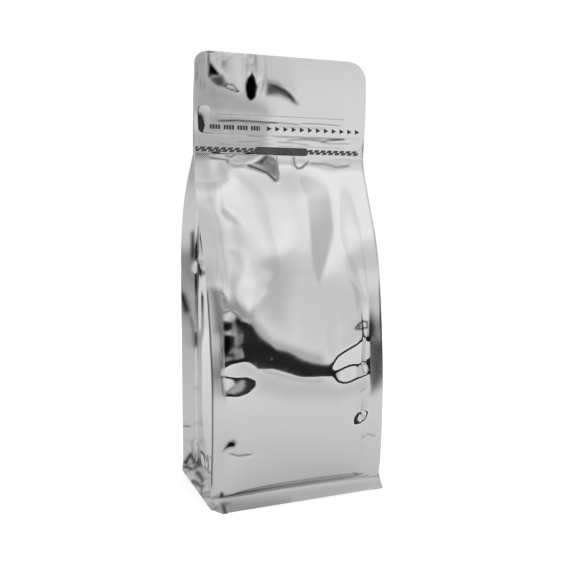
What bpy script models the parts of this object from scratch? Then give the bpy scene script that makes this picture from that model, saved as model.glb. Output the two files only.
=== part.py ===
"""A filled, closed flat-bottom pouch of metallised film, standing on its base.

Metres, +Z up. The origin is the middle of the base on the surface that the pouch stands on, +X runs along
the pouch's width and -Y is its front, where the pocket zipper and its tear strip are.
"""

import math

import bmesh
import bpy

MM = 0.001

# The driving dimensions of the pouch.
WIDTH = 110 * MM
HEIGHT = 265 * MM
FRONT_DEPTH = 33.5 * MM
BACK_DEPTH = 33.0 * MM
SEAL_WIDTH = 8.5 * MM
SEAL_THICKNESS = 0.8 * MM
HEADER_GAP = 0.3 * MM
CORNER_LEFT = 7.5 * MM
CORNER_RIGHT = 12.0 * MM

# Heights at which the front and back panels leave the flat header and reach their full depth.
HEADER_FOOT = 206 * MM
FRONT_FULL = 75 * MM
BACK_FULL = 140 * MM
FRONT_EASE = 1.7
BACK_EASE = 2.0

# How far each panel swells past the plane of its corner seals.
FRONT_SWELL = 6.5 * MM
BACK_SWELL = 7.0 * MM
SIDE_SWELL = 3.0 * MM

# The bottom seals: a fin as tall as the crease, splayed out to the surface it stands on.
CREASE = 8.0 * MM
CREASE_TUCK = 3.0 * MM
TUCK_HEIGHT = 40 * MM
SPLAY = 5.0 * MM
GROOVE_TOP = 5.0 * MM
BASE_FLAT = (80 * MM, 44 * MM)

# The side gussets fold inwards over these heights and close again in the header.
FOLD_START = 118 * MM
FOLD_FULL = 165 * MM
FOLD_CLOSING = 192 * MM
HEADER_NOTCH = 2.0 * MM

# The press-to-close profile under the film: two ribs across the header, between the corner seals.
RIB_HEIGHTS = (212.8 * MM, 215.6 * MM)
RIB_HALF_WIDTH = 1.3 * MM
RIB_PROUD = 0.5 * MM

# The tear strip and its pull tab, which lie on the header's front.
STRIP_BOTTOM = 217.5 * MM
STRIP_TOP = 228.2 * MM
STRIP_RIGHT = 52.0 * MM
STRIP_THICKNESS = 0.6 * MM
STRIP_GAP = 0.3 * MM
TAB_LEFT = -52.7 * MM
TAB_RIGHT = -44.7 * MM
TAB_TOP = 233.7 * MM
TAB_RADIUS = 3.2 * MM
STRIP_RADIUS = 0.8 * MM

FRONT_STEPS = 22
BACK_STEPS = 18
GUSSET_STEPS = 8
ARC_STEPS = 6

HALF_WIDTH = WIDTH / 2
HEADER_HALF = SEAL_THICKNESS + HEADER_GAP / 2
ROOT = HALF_WIDTH - SEAL_WIDTH


def clamp(value):
    return min(1.0, max(0.0, value))


def smooth(value):
    """A step from 0 to 1 that starts and ends level."""
    share = clamp(value)
    return share * share * (3 - 2 * share)


def ease(value, power):
    """A rise from 0 to 1 that starts steep and ends level."""
    return 1 - (1 - clamp(value)) ** power


def base_shape(z):
    """How far the bottom of a panel tucks in at the crease and splays out below it."""
    tuck = CREASE_TUCK * (1 - smooth((z - CREASE) / TUCK_HEIGHT))
    splay = SPLAY * clamp((CREASE - z) / CREASE)
    return splay - tuck


def front_seal(z):
    """The y of the front corner seals at height z."""
    lean = ease((HEADER_FOOT - z) / (HEADER_FOOT - FRONT_FULL), FRONT_EASE)
    return -(HEADER_HALF + (FRONT_DEPTH - HEADER_HALF) * lean + base_shape(z))


def back_seal(z):
    """The y of the back corner seals at height z."""
    lean = ease((HEADER_FOOT - z) / (HEADER_FOOT - BACK_FULL), BACK_EASE)
    return HEADER_HALF + (BACK_DEPTH - HEADER_HALF) * lean + base_shape(z)


def fullness(z):
    """The share of its swell that a panel has at height z: none at the crease or in the header."""
    from_base = ease((z - CREASE) / (30 * MM), 2.5)
    from_header = smooth((HEADER_FOOT - z) / (95 * MM))
    return from_base * from_header


def pillow(share):
    """The form of a panel between two seals, for a share from -1 to 1 of the way across."""
    return max(0.0, 1 - abs(share) ** 2.4) ** 0.8


def ribs(x, z):
    """The raised zipper profile on the front of the header."""
    if abs(x) >= ROOT:
        return 0.0
    nearest = min(abs(z - height) for height in RIB_HEIGHTS)
    return RIB_PROUD * smooth(1.5 - nearest / RIB_HALF_WIDTH)


def gusset_depth(z):
    """How far the middle of a side gusset lies inside the root of the corner seals; it swells out low down."""
    half_gap = (back_seal(z) - front_seal(z)) / 2
    half_film = (FRONT_DEPTH + BACK_DEPTH) / 2
    folded = math.sqrt(max(0.0, half_film**2 - half_gap**2))
    folding = smooth((z - FOLD_START) / (FOLD_FULL - FOLD_START))
    closing = smooth((z - FOLD_CLOSING) / (HEADER_FOOT - FOLD_CLOSING))
    swell = SIDE_SWELL * fullness(z) * (1 - folding)
    open_depth = folded * folding - swell
    return open_depth * (1 - closing) + (HEADER_NOTCH - SEAL_WIDTH) * closing


def side_reach(z, sign):
    """The half width at height z on the left (-1) or right (+1): full, but for the rounded top corners."""
    radius = CORNER_LEFT if sign < 0 else CORNER_RIGHT
    above = z - (HEIGHT - radius)
    if above <= 0:
        return HALF_WIDTH
    return HALF_WIDTH - radius + math.sqrt(max(0.0, radius**2 - above**2))


def spread(count):
    """Shares from 0 to 1 in even steps, both ends included."""
    return [step / count for step in range(count + 1)]


def panel_columns(steps):
    """Positions across a panel: the seal's edge, its root, and even steps between the roots."""
    inner = [-ROOT + 2 * ROOT * share for share in spread(steps)]
    return [-HALF_WIDTH, *inner, HALF_WIDTH]


def narrowed(x, z):
    """A position across the panel, drawn in where the rounded top corners narrow it."""
    sign = -1 if x < 0 else 1
    return x * side_reach(z, sign) / HALF_WIDTH


def front_point(x, z):
    swell = FRONT_SWELL * fullness(z) * pillow(x / ROOT) + ribs(x, z)
    return (narrowed(x, z), front_seal(z) - swell, z)


def back_point(x, z):
    swell = BACK_SWELL * fullness(z) * pillow(x / ROOT)
    return (narrowed(x, z), back_seal(z) + swell, z)


def gusset_points(z, sign):
    """The side of the pouch from the front seal's outer edge round to the back seal's outer edge."""
    reach = side_reach(z, sign)
    front = front_seal(z) + SEAL_THICKNESS
    back = back_seal(z) - SEAL_THICKNESS
    closed = smooth((z - FOLD_CLOSING) / (HEADER_FOOT - FOLD_CLOSING))
    root = ROOT + (SEAL_WIDTH - HEADER_NOTCH / 4) * closed - (HALF_WIDTH - reach)
    depth = gusset_depth(z)
    depth = depth * (1 - closed) + (HEADER_NOTCH * 0.75) * closed
    folding = smooth((z - FOLD_START) / (FOLD_FULL - FOLD_START))
    points = [(sign * reach, front, z)]
    for share in spread(GUSSET_STEPS):
        across = 2 * share - 1
        rounded = pillow(across)
        creased = 1 - abs(across)
        inwards = depth * (rounded * (1 - folding) + creased * folding)
        points.append((sign * (root - inwards), front + (back - front) * share, z))
    points.append((sign * reach, back, z))
    return points


def section(z):
    """One closed ring round the pouch at height z, from the front left edge by the front, right and back."""
    front = [front_point(x, z) for x in panel_columns(FRONT_STEPS)]
    back = [back_point(x, z) for x in reversed(panel_columns(BACK_STEPS))]
    right = gusset_points(z, 1)
    left = list(reversed(gusset_points(z, -1)))
    return front + right + back + left


def foot_section(inset, z):
    """The ring on the ground: a rectangle round the splayed bottom seals, inset by a distance."""
    half_x = HALF_WIDTH - inset
    front = front_seal(0) + inset
    back = back_seal(0) - inset
    near, far = front + SEAL_THICKNESS / 2, back - SEAL_THICKNESS / 2
    columns = [x * half_x / HALF_WIDTH for x in panel_columns(FRONT_STEPS)]
    back_columns = [x * half_x / HALF_WIDTH for x in reversed(panel_columns(BACK_STEPS))]
    rise = [near + (far - near) * share for share in spread(GUSSET_STEPS + 2)]
    return (
        [(x, front, z) for x in columns]
        + [(half_x, y, z) for y in rise]
        + [(x, back, z) for x in back_columns]
        + [(-half_x, y, z) for y in reversed(rise)]
    )


def base_section(half_x, half_y, z):
    """A ring of the base film, inside the bottom seals: a rectangle of the given half sizes."""
    columns = [x * half_x / HALF_WIDTH for x in panel_columns(FRONT_STEPS)]
    back_columns = [x * half_x / HALF_WIDTH for x in reversed(panel_columns(BACK_STEPS))]
    rise = [-half_y + 2 * half_y * share for share in spread(GUSSET_STEPS + 4)[1:-1]]
    return (
        [(x, -half_y, z) for x in columns]
        + [(half_x, y, z) for y in rise]
        + [(x, half_y, z) for x in back_columns]
        + [(-half_x, y, z) for y in reversed(rise)]
    )


def heights():
    """The levels of the rings from the crease to the top edge, closer where the form turns faster."""
    body = [CREASE + step * MM for step in (0, 2, 5, 10, 17, 26, 36, 47, 58, 68, 78, 88, 98, 108)]
    fold = [step * MM for step in range(124, 200, 7)]
    foot = [step * MM for step in (202, 206, 209)]
    zipper = [
        height + side * RIB_HALF_WIDTH
        for height in RIB_HEIGHTS
        for side in ((-1.5, -0.5, 0.4) if height == RIB_HEIGHTS[0] else (-0.4, 0.5, 1.5))
    ]
    header = [step * MM for step in (222, 228, 236, 245)]
    tops = [HEIGHT - CORNER_RIGHT * (1 - math.sin(math.radians(a))) for a in range(0, 90, 15)]
    return body + fold + foot + zipper + header + tops + [HEIGHT]


def loft(name, rings, material):
    """A closed solid through rings that have the same number of points, with both ends filled."""
    mesh = bmesh.new()
    loops = [[mesh.verts.new(point) for point in ring] for ring in rings]
    count = len(rings[0])
    for lower, upper in zip(loops, loops[1:]):
        for index in range(count):
            after = (index + 1) % count
            mesh.faces.new((lower[index], lower[after], upper[after], upper[index]))
    mesh.faces.new(list(reversed(loops[0])))
    mesh.faces.new(loops[-1])
    bmesh.ops.recalc_face_normals(mesh, faces=mesh.faces)
    bmesh.ops.triangulate(mesh, faces=mesh.faces)
    return add_object(name, mesh, material)


def add_object(name, mesh, material):
    data = bpy.data.meshes.new(name)
    mesh.to_mesh(data)
    mesh.free()
    data.materials.append(material)
    data.shade_smooth()
    data.set_sharp_from_angle(angle=math.radians(35))
    made = bpy.data.objects.new(name, data)
    bpy.context.scene.collection.objects.link(made)
    return made


def finish(name, colour, metallic, roughness):
    """A plain Principled material with the part's colour."""
    material = bpy.data.materials.new(name)
    material.use_nodes = True
    shader = material.node_tree.nodes["Principled BSDF"]
    shader.inputs["Base Color"].default_value = (*colour, 1)
    shader.inputs["Metallic"].default_value = metallic
    shader.inputs["Roughness"].default_value = roughness
    return material


def rounded_outline(corners):
    """Points round an outline of (x, z, radius) corners, each turned by an arc of its radius."""
    points = []
    count = len(corners)
    for index, (x, z, radius) in enumerate(corners):
        before, after = corners[index - 1], corners[(index + 1) % count]
        towards = []
        for other in (before, after):
            run, rise = other[0] - x, other[1] - z
            length = math.hypot(run, rise)
            towards.append((run / length, rise / length))
        (ax, az), (bx, bz) = towards
        centre = (x + radius * (ax + bx), z + radius * (az + bz))
        start = math.atan2(-bz, -bx)
        turn = math.atan2(bx * az - bz * ax, ax * bx + az * bz)
        for share in spread(ARC_STEPS):
            angle = start + turn * share
            points.append((centre[0] + radius * math.cos(angle), centre[1] + radius * math.sin(angle)))
    return points


def make_bag(material):
    base_x, base_y = BASE_FLAT[0] / 2, BASE_FLAT[1] / 2
    groove_x, groove_y = ROOT - 2 * MM, FRONT_DEPTH - CREASE_TUCK - 3 * MM
    rings = [
        base_section(base_x, base_y, 0.0),
        base_section((base_x + groove_x) / 2, (base_y + groove_y) / 2, 0.6 * MM),
        base_section(groove_x, groove_y, GROOVE_TOP),
        foot_section(SEAL_THICKNESS, 0.0),
        foot_section(0.0, 0.0),
    ]
    rings += [section(z) for z in heights()]
    return loft("bag", rings, material)


def make_tear_strip(material):
    """The printed strip and its pull tab, one flat piece of film in front of the header."""
    outline = rounded_outline(
        [
            (STRIP_RIGHT, STRIP_BOTTOM, STRIP_RADIUS),
            (STRIP_RIGHT, STRIP_TOP, STRIP_RADIUS),
            (TAB_RIGHT, STRIP_TOP, STRIP_RADIUS),
            (TAB_RIGHT, TAB_TOP, TAB_RADIUS),
            (TAB_LEFT, TAB_TOP, TAB_RADIUS),
            (TAB_LEFT, STRIP_BOTTOM, TAB_RADIUS),
        ]
    )
    rear = -(HEADER_HALF + STRIP_GAP)
    mesh = bmesh.new()
    face = mesh.faces.new([mesh.verts.new((x, rear, z)) for x, z in outline])
    extruded = bmesh.ops.extrude_face_region(mesh, geom=[face])
    front = [v for v in extruded["geom"] if isinstance(v, bmesh.types.BMVert)]
    bmesh.ops.translate(mesh, verts=front, vec=(0, -STRIP_THICKNESS, 0))
    bmesh.ops.recalc_face_normals(mesh, faces=mesh.faces)
    return add_object("tear_strip", mesh, material)


def main():
    for old in list(bpy.data.objects):
        bpy.data.objects.remove(old)
    film = finish("metallised_film", (0.72, 0.72, 0.73), 1.0, 0.16)
    strip = finish("printed_film", (0.70, 0.70, 0.71), 1.0, 0.22)
    make_bag(film)
    make_tear_strip(strip)


main()
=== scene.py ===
import math

import bpy
import numpy as np
from bpy.props import FloatProperty, FloatVectorProperty, IntProperty, PointerProperty
from mathutils import Matrix


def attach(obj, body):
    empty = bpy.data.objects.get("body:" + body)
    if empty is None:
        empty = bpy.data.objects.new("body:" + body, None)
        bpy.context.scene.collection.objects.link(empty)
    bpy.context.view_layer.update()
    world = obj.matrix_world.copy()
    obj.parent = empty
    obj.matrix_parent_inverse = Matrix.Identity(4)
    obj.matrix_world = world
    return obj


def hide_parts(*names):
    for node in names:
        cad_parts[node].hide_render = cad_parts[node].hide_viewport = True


bl_info = {
    "name": "Flat-bottom film pouch",
    "version": (1, 0, 0),
    "blender": (4, 5, 0),
    "location": "View3D > Sidebar > Pouch",
    "description": "A filled flat-bottom pouch of metallised film with a pull tab",
    "category": "Add Mesh",
}

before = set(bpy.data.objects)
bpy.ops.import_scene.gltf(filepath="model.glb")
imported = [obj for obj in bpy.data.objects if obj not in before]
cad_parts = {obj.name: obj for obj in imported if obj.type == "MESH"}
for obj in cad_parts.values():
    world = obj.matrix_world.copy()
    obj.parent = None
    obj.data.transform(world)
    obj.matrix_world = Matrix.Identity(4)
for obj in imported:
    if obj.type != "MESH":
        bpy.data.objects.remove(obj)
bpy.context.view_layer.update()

MM = 0.001

# Sizes of the pouch in millimetres, as the solids have them.
# Half the width, and how far out from the middle the corner seals start.
HALF = 55.0
ROOT = 46.5
# The whole height, the crease over the bottom seal, and the foot of the flat header.
TALL = 265.0
CREASE = 8.0
FOOT = 206.0
# Depth of the header's front at its foot, and how much the header leans back over its height.
HEAD = -1.0
LEAN = 0.040
# How far the front's foot lies before the middle plane, and the rear corner seals behind it.
GROUND_DEPTH = 36.0
BACK_DEPTH = 33.0
# How far a side film lies from the panel that it is sealed to.
FILM_PAIR = 0.6
# Radii of the header's corners.
CORNER_LEFT = 7.5
CORNER_RIGHT = 12.0
# How far the back and the sides swell.
BACK_SWELL = 7.0
SIDE_SWELL = 1.4
# Half the width of a side film, first as it folds in and then as its creases are placed.
SIDE_FOLDED = 33.25
SIDE_HALF = 33.0

# Where the camera stood, in millimetres: the belly fold is placed by what it mirrors from there.
VIEWPOINT = (-169.2, -452.0, 177.6)
# How far off the table's edge lies, which the fold mirrors.
TABLE_EDGE = 600.0


def clamp(value):
    return np.clip(value, 0.0, 1.0)


def smooth(value):
    """A step from 0 to 1 that starts and ends level."""
    share = clamp(value)
    return share * share * (3 - 2 * share)


def sigmoid(value):
    return 1 / (1 + np.exp(-np.clip(value, -40, 40)))


def ease(value, power):
    """A rise from 0 to 1 that starts steep and ends level."""
    return 1 - (1 - clamp(value)) ** power


def curve(at, stations):
    """A smooth curve through (position, value) stations that never overshoots them."""
    places = np.array([place for place, value in stations], float)
    values = np.array([value for place, value in stations], float)
    gaps = np.diff(places)
    rises = np.diff(values) / gaps
    slopes = np.zeros_like(values)
    same_way = rises[:-1] * rises[1:] > 0
    joined = rises[:-1] + rises[1:]
    slopes[1:-1] = np.where(same_way, 2 * rises[:-1] * rises[1:] / (joined + 1e-12), 0)
    slopes[0], slopes[-1] = rises[0], rises[-1]
    at = np.clip(at, places[0], places[-1])
    index = np.clip(np.searchsorted(places, at) - 1, 0, len(places) - 2)
    gap = gaps[index]
    t = (at - places[index]) / gap
    return (
        (2 * t**3 - 3 * t**2 + 1) * values[index]
        + (t**3 - 2 * t**2 + t) * gap * slopes[index]
        + (-2 * t**3 + 3 * t**2) * values[index + 1]
        + (t**3 - t**2) * gap * slopes[index + 1]
    )


def across(x, stations, blur=1.5):
    """Stations along the width, joined by lines whose corners are rounded over a few millimetres."""
    places = [place for place, value in stations]
    values = [value for place, value in stations]
    weights = ((-2, 1), (-1, 4), (0, 6), (1, 4), (2, 1))
    return sum(weight / 16 * np.interp(x + shift * blur, places, values) for shift, weight in weights)


# Depth of the corner seals down the pouch, as (height, y).
RIGHT_SEAL = (
    (0, -36), (8, -30.8), (12, -31.6), (20, -32.8), (36, -33.9), (50, -34.3), (63, -34.3), (76, -33.7),
    (89, -32.6), (101, -31.2), (114, -29.5), (136, -26.3), (154, -21.4), (172, -13.6), (188, -6.6),
    (198, -2.6), (206, -1.0), (265, -1.0),
)
LEFT_SEAL = (
    (0, -36), (8, -32.6), (12, -33.3), (23, -34.8), (44, -36.3), (64, -36.8), (77, -36.2), (89, -34.6),
    (100, -32.6), (110, -30.6), (122, -27.8), (135, -23.7), (150, -17.8), (164, -11.0), (177, -5.0),
    (190, -1.6), (206, -1.0), (265, -1.0),
)

# The belly fold: the heights across the width between which the film turns from upright to leaning back.
FOLD_TOP = (
    (-52, 127), (-48, 123), (-42.8, 119.3), (-35.3, 111.4), (-27, 102.1), (-20.1, 93.6), (-9.8, 90.5),
    (-3, 86.3), (6, 83.2), (16.1, 81.1), (22, 86), (34, 92.4), (44, 95.9), (52, 97),
)
FOLD_FOOT = (
    (-52, 85), (-45, 87.5), (-37, 88), (-31.1, 82.8), (-20.1, 82.6), (-9.7, 78.9), (-2.9, 76.5),
    (16.2, 75.7), (22, 70.8), (34, 71.2), (44, 71.8), (52, 72),
)

# On the right the fold splits into three creases with two small facets between them.
CREASE_TOP = (
    (10, 80.5), (17.5, 81.1), (20.3, 86.1), (26.6, 89.0), (34.4, 92.4), (41.6, 95.0), (48, 97),
)
CREASE_MIDDLE = ((10, 79), (17.5, 78.5), (20.4, 77.3), (31.7, 80.1), (38.2, 79.6), (42, 84), (48, 88))
CREASE_LOW = (
    (10, 78), (17.5, 77.5), (19.0, 75.0), (20.5, 71.7), (26.2, 69.9), (35.5, 71.8), (40.9, 72.7), (48, 76),
)

# Above the fold the film leans gently at first, and more above this line; the second list is its softness.
LEAN_LINE = (
    (-50, 172), (-40, 169), (-30.4, 164.2), (-18.8, 154.8), (-4.5, 142.5), (9.2, 127.5), (16, 129),
    (25, 131), (36, 126), (48, 122),
)
LEAN_SOFTNESS = (
    (-50, 5), (-40, 4), (-30.4, 3.5), (-18.8, 3), (-4.5, 2.5), (9.2, 1.6), (16, 4), (25, 6), (48, 7),
)


def sight(x, z):
    """The direction from the viewpoint to a place on the front."""
    dx = x - VIEWPOINT[0]
    dy = -GROUND_DEPTH - VIEWPOINT[1]
    dz = z - VIEWPOINT[2]
    length = np.sqrt(dx * dx + dy * dy + dz * dz)
    return dx / length, dy / length, dz / length


def slope_that_mirrors(elevation, x, z, turned=0.0):
    """How much the film leans back, as dy/dz, to mirror an elevation in degrees where dy/dx is given."""
    aside, forward, upward = sight(x, z)
    sine = np.sin(np.radians(elevation))
    facing = forward - aside * turned
    root = np.sqrt(np.clip(facing**2 + (upward**2 - sine**2) * (1 + turned**2), 0, None))
    return (sine - upward) * (1 + turned**2) / (facing + root)


def mirrored_elevation(slope, x, z, turned=0.0):
    """The elevation in degrees that film of this slope mirrors."""
    aside, forward, upward = sight(x, z)
    facing = forward - aside * turned - upward * slope
    sine = upward + 2 * facing * slope / (1 + turned**2 + slope**2)
    return np.degrees(np.arcsin(np.clip(sine, -1, 1)))


def bump(x, z, centre, radii, turn, height):
    """A soft swelling of the film, or a dent where the height is negative."""
    angle = math.radians(turn)
    along = (x - centre[0]) * math.cos(angle) + (z - centre[1]) * math.sin(angle)
    aside = -(x - centre[0]) * math.sin(angle) + (z - centre[1]) * math.cos(angle)
    return -height * np.exp(-0.5 * ((along / radii[0]) ** 2 + (aside / radii[1]) ** 2))


def along_line(x, z, points):
    """Distance from a bent line, how far along it the nearest place is, and its whole length."""
    nearest = np.full(np.shape(x), 1e9)
    travelled = np.zeros(np.shape(x))
    done = 0.0
    for (ax, az), (bx, bz) in zip(points, points[1:]):
        length = math.hypot(bx - ax, bz - az)
        ux, uz = (bx - ax) / length, (bz - az) / length
        along = np.clip((x - ax) * ux + (z - az) * uz, 0, length)
        distance = np.hypot(x - ax - along * ux, z - az - along * uz)
        closer = distance < nearest
        nearest = np.where(closer, distance, nearest)
        travelled = np.where(closer, done + along, travelled)
        done += length
    return nearest, travelled, done


def stroke(x, z, points, width, fade):
    """1 on a bent line and less beside it, with ends that thin out over some millimetres."""
    nearest, travelled, length = along_line(x, z, points)
    taper = smooth(travelled / fade + 0.3) * smooth((length - travelled) / fade + 0.3)
    return taper * np.exp(-((nearest / width) ** 2))


def crease(x, z, points, width, height, fade=3.0):
    """A soft ridge along a bent line that fades out over some millimetres at both ends."""
    nearest, travelled, length = along_line(x, z, points)
    taper = smooth(travelled / fade) * smooth((length - travelled) / fade)
    return -height * taper * np.exp(-0.5 * (nearest / width) ** 2)


def inside(x, z, outline, soft):
    """1 inside an outline and 0 outside it, with an edge as soft as asked."""
    nearest, travelled, length = along_line(x, z, outline + outline[:1])
    within = np.zeros(np.shape(x), bool)
    for (ax, az), (bx, bz) in zip(outline, outline[1:] + outline[:1]):
        crosses = (az > z) != (bz > z)
        at = (bx - ax) * (z - az) / (bz - az + 1e-9) + ax
        within ^= crosses & (x < at)
    return sigmoid(np.where(within, nearest, -nearest) / soft)


# Facets where folds pinch the film: (elevation each one mirrors, softness of its edge, outline in x and z).
# What lies at 0 degrees is the dark end of the room, 4 is the edge of the soft box, and more is the box.
# Two elevations mean that the facet keeps its own where that lies between them.
FACETS = (
    # the left end of the belly fold
    ((-6.5, 1.5), 0.7, (
        (-47.6, 118), (-42.5, 116.4), (-39.6, 113.4), (-37, 108.8), (-30, 101), (-30, 84), (-37, 86.6),
        (-47.6, 84.6),
    )),
    (9.0, 0.4, (
        (-47.4, 113.2), (-44.8, 114.9), (-42.4, 115.0), (-40.8, 112.9), (-41.7, 109.6), (-44.9, 108.5),
        (-47.4, 109.4),
    )),
    (4.0, 0.6, (
        (-42.3, 107.2), (-38.2, 107.6), (-35.9, 102.7), (-35.9, 97.8), (-39.7, 94.2), (-41.9, 95.9),
        (-42.3, 101.2),
    )),
    (4.3, 0.5, (
        (-39.7, 95.0), (-37.0, 96.0), (-35.1, 91.7), (-35.1, 88.5), (-40.1, 87.0), (-46.4, 86.4),
        (-47.0, 87.6), (-44.6, 91.2), (-42.4, 95.5),
    )),
    (0.5, 0.5, ((-44.5, 90.6), (-42.4, 91.2), (-42.0, 90.1), (-44.0, 89.6))),
    (6.0, 0.5, ((-22.4, 88.8), (-20.0, 89.8), (-19.2, 87.3), (-21.6, 86.6))),
    (1.0, 0.35, ((-47.2, 125.9), (-45.0, 124.4), (-44.9, 122.5), (-47.2, 123.1))),
    (1.0, 0.35, ((-46.2, 121.6), (-43.8, 120.3), (-45.9, 119.4))),
    (6.0, 0.35, ((-46.4, 103.9), (-43.2, 104.0), (-42.8, 101.9), (-46.2, 101.4))),
    # the right ends of the three creases
    (-16.0, 0.45, ((36, 81.4), (37, 92.0), (42, 93.0), (47.6, 94.2), (47.6, 83.5), (43.5, 82.2))),
    (14.0, 0.45, ((36, 72.9), (37, 79.6), (42, 79.6), (45, 78.5), (46.2, 74.6), (42, 73.2))),
    # puckers beside the right seal
    (-6.3, 0.5, ((36.2, 62.6), (38.1, 64.6), (42.7, 64.6), (41.7, 62.4))),
    (0.0, 0.45, (
        (32.0, 43.6), (32.6, 47.4), (35.4, 50.8), (42.5, 51.4), (45.6, 49.6), (43.9, 45.4),
        (37.3, 42.8), (33.5, 42.6),
    )),
    (13.0, 0.4, ((36.2, 46.8), (41.0, 50.2), (44.0, 49.0), (42.2, 46.2), (37.8, 44.4))),
    # the hooked pucker beside the left seal, and the two small ones under it
    (0.0, 0.4, (
        (-47.6, 78.8), (-41.9, 78.2), (-34.3, 78.6), (-30.0, 76.3), (-29.8, 73.0), (-34.3, 68.6),
        (-39.9, 66.7), (-47.6, 67.2),
    )),
    (12.0, 0.35, ((-47.8, 77.3), (-42.2, 76.3), (-42.0, 73.6), (-44.3, 71.6), (-47.9, 69.0))),
    (4.8, 0.45, (
        (-44.3, 71.0), (-40.8, 74.6), (-38.6, 76.8), (-35.6, 76.9), (-35.4, 72.6), (-38.5, 69.2),
        (-42.0, 67.7), (-47.2, 68.0),
    )),
    (0.5, 0.35, ((-48.2, 35.0), (-44.4, 41.2), (-40.0, 39.6), (-40.2, 36.6), (-44.1, 36.2), (-46.4, 34.9))),
    # the seals beside the fold
    (0.5, 0.9, ((46.6, 94), (49.0, 92), (51.5, 86), (51.5, 74), (49.0, 67), (46.6, 63))),
    (2.5, 0.9, ((-48.9, 118), (-46.8, 123), (-46.8, 99), (-48.3, 101))),
    # broad soft facets under the header
    ((15.6, 60.0), 2.2, ((-16, 121), (-16, 133), (0, 144), (12, 144), (15, 131), (12, 121))),
    (20.0, 1.2, (
        (-45.9, 178.5), (-43.1, 173.0), (-39.0, 174.5), (-34.9, 171.4), (-31.6, 164.5), (-38.9, 166.0),
    )),
    (4.7, 1.0, (
        (-10.6, 202.2), (-6.3, 200.4), (-5.4, 195.1), (-5.9, 190.5), (-10.4, 195.0), (-19.7, 198.1),
    )),
    (2.5, 0.8, ((-12.6, 204.0), (-9.7, 206.0), (-7.2, 202.8), (-10.6, 201.6), (-15.5, 200.6))),
    # the dents of the header
    (1.0, 0.35, (
        (-46.0, 264.0), (-45.2, 262.9), (-44.9, 259.3), (-43.2, 256.8), (-40.8, 254.0), (-38.6, 251.6),
        (-42.0, 250.8), (-44.3, 251.8), (-46.3, 249.0),
    )),
    (4.3, 0.7, (
        (-46.2, 250.0), (-43.0, 251.2), (-39.1, 252.0), (-36.9, 252.2), (-34.9, 248.4), (-36.4, 244.1),
        (-41.1, 244.2), (-44.5, 246.6),
    )),
    (4.9, 0.8, (
        (-40.6, 259.7), (-37.5, 262.2), (-33.7, 262.0), (-33.4, 258.2), (-35.6, 253.6), (-37.6, 252.1),
        (-39.6, 254.6),
    )),
    (3.0, 0.3, (
        (-37.2, 244.8), (-34.3, 247.4), (-30.7, 246.5), (-26.8, 242.2), (-28.8, 241.5), (-33.2, 242.9),
    )),
    (10.0, 0.3, ((-35.3, 244.9), (-33.9, 246.0), (-31.2, 245.2), (-29.0, 242.9), (-32.6, 244.0))),
    (4.9, 0.7, (
        (-16.2, 249.6), (-12.6, 252.4), (-11.6, 249.8), (-14.8, 243.7), (-16.3, 238.4), (-18.4, 238.2),
    )),
    (5.2, 0.7, ((-22.0, 257.7), (-17.5, 258.7), (-16.2, 252.2), (-22.6, 252.2))),
    (0.0, 0.35, (
        (-19.8, 254.0), (-17.1, 251.5), (-16.2, 245.7), (-17.4, 239.9), (-19.7, 237.1), (-22.8, 239.7),
        (-23.7, 245.4), (-22.6, 251.1),
    )),
    (4.35, 0.5, (
        (-10.8, 249.7), (-3.4, 248.5), (2.3, 246.1), (7.4, 242.5), (10.3, 236.2), (8.1, 236.8),
        (3.8, 240.0), (-2.0, 241.8), (-7.8, 241.2), (-11.2, 240.8),
    )),
    (3.3, 0.5, (
        (-9.1, 249.4), (-2.7, 248.1), (3.8, 245.2), (8.3, 240.9), (9.9, 236.6), (7.4, 238.5),
        (2.3, 242.9), (-3.4, 245.9), (-6.3, 246.8),
    )),
)

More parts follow.
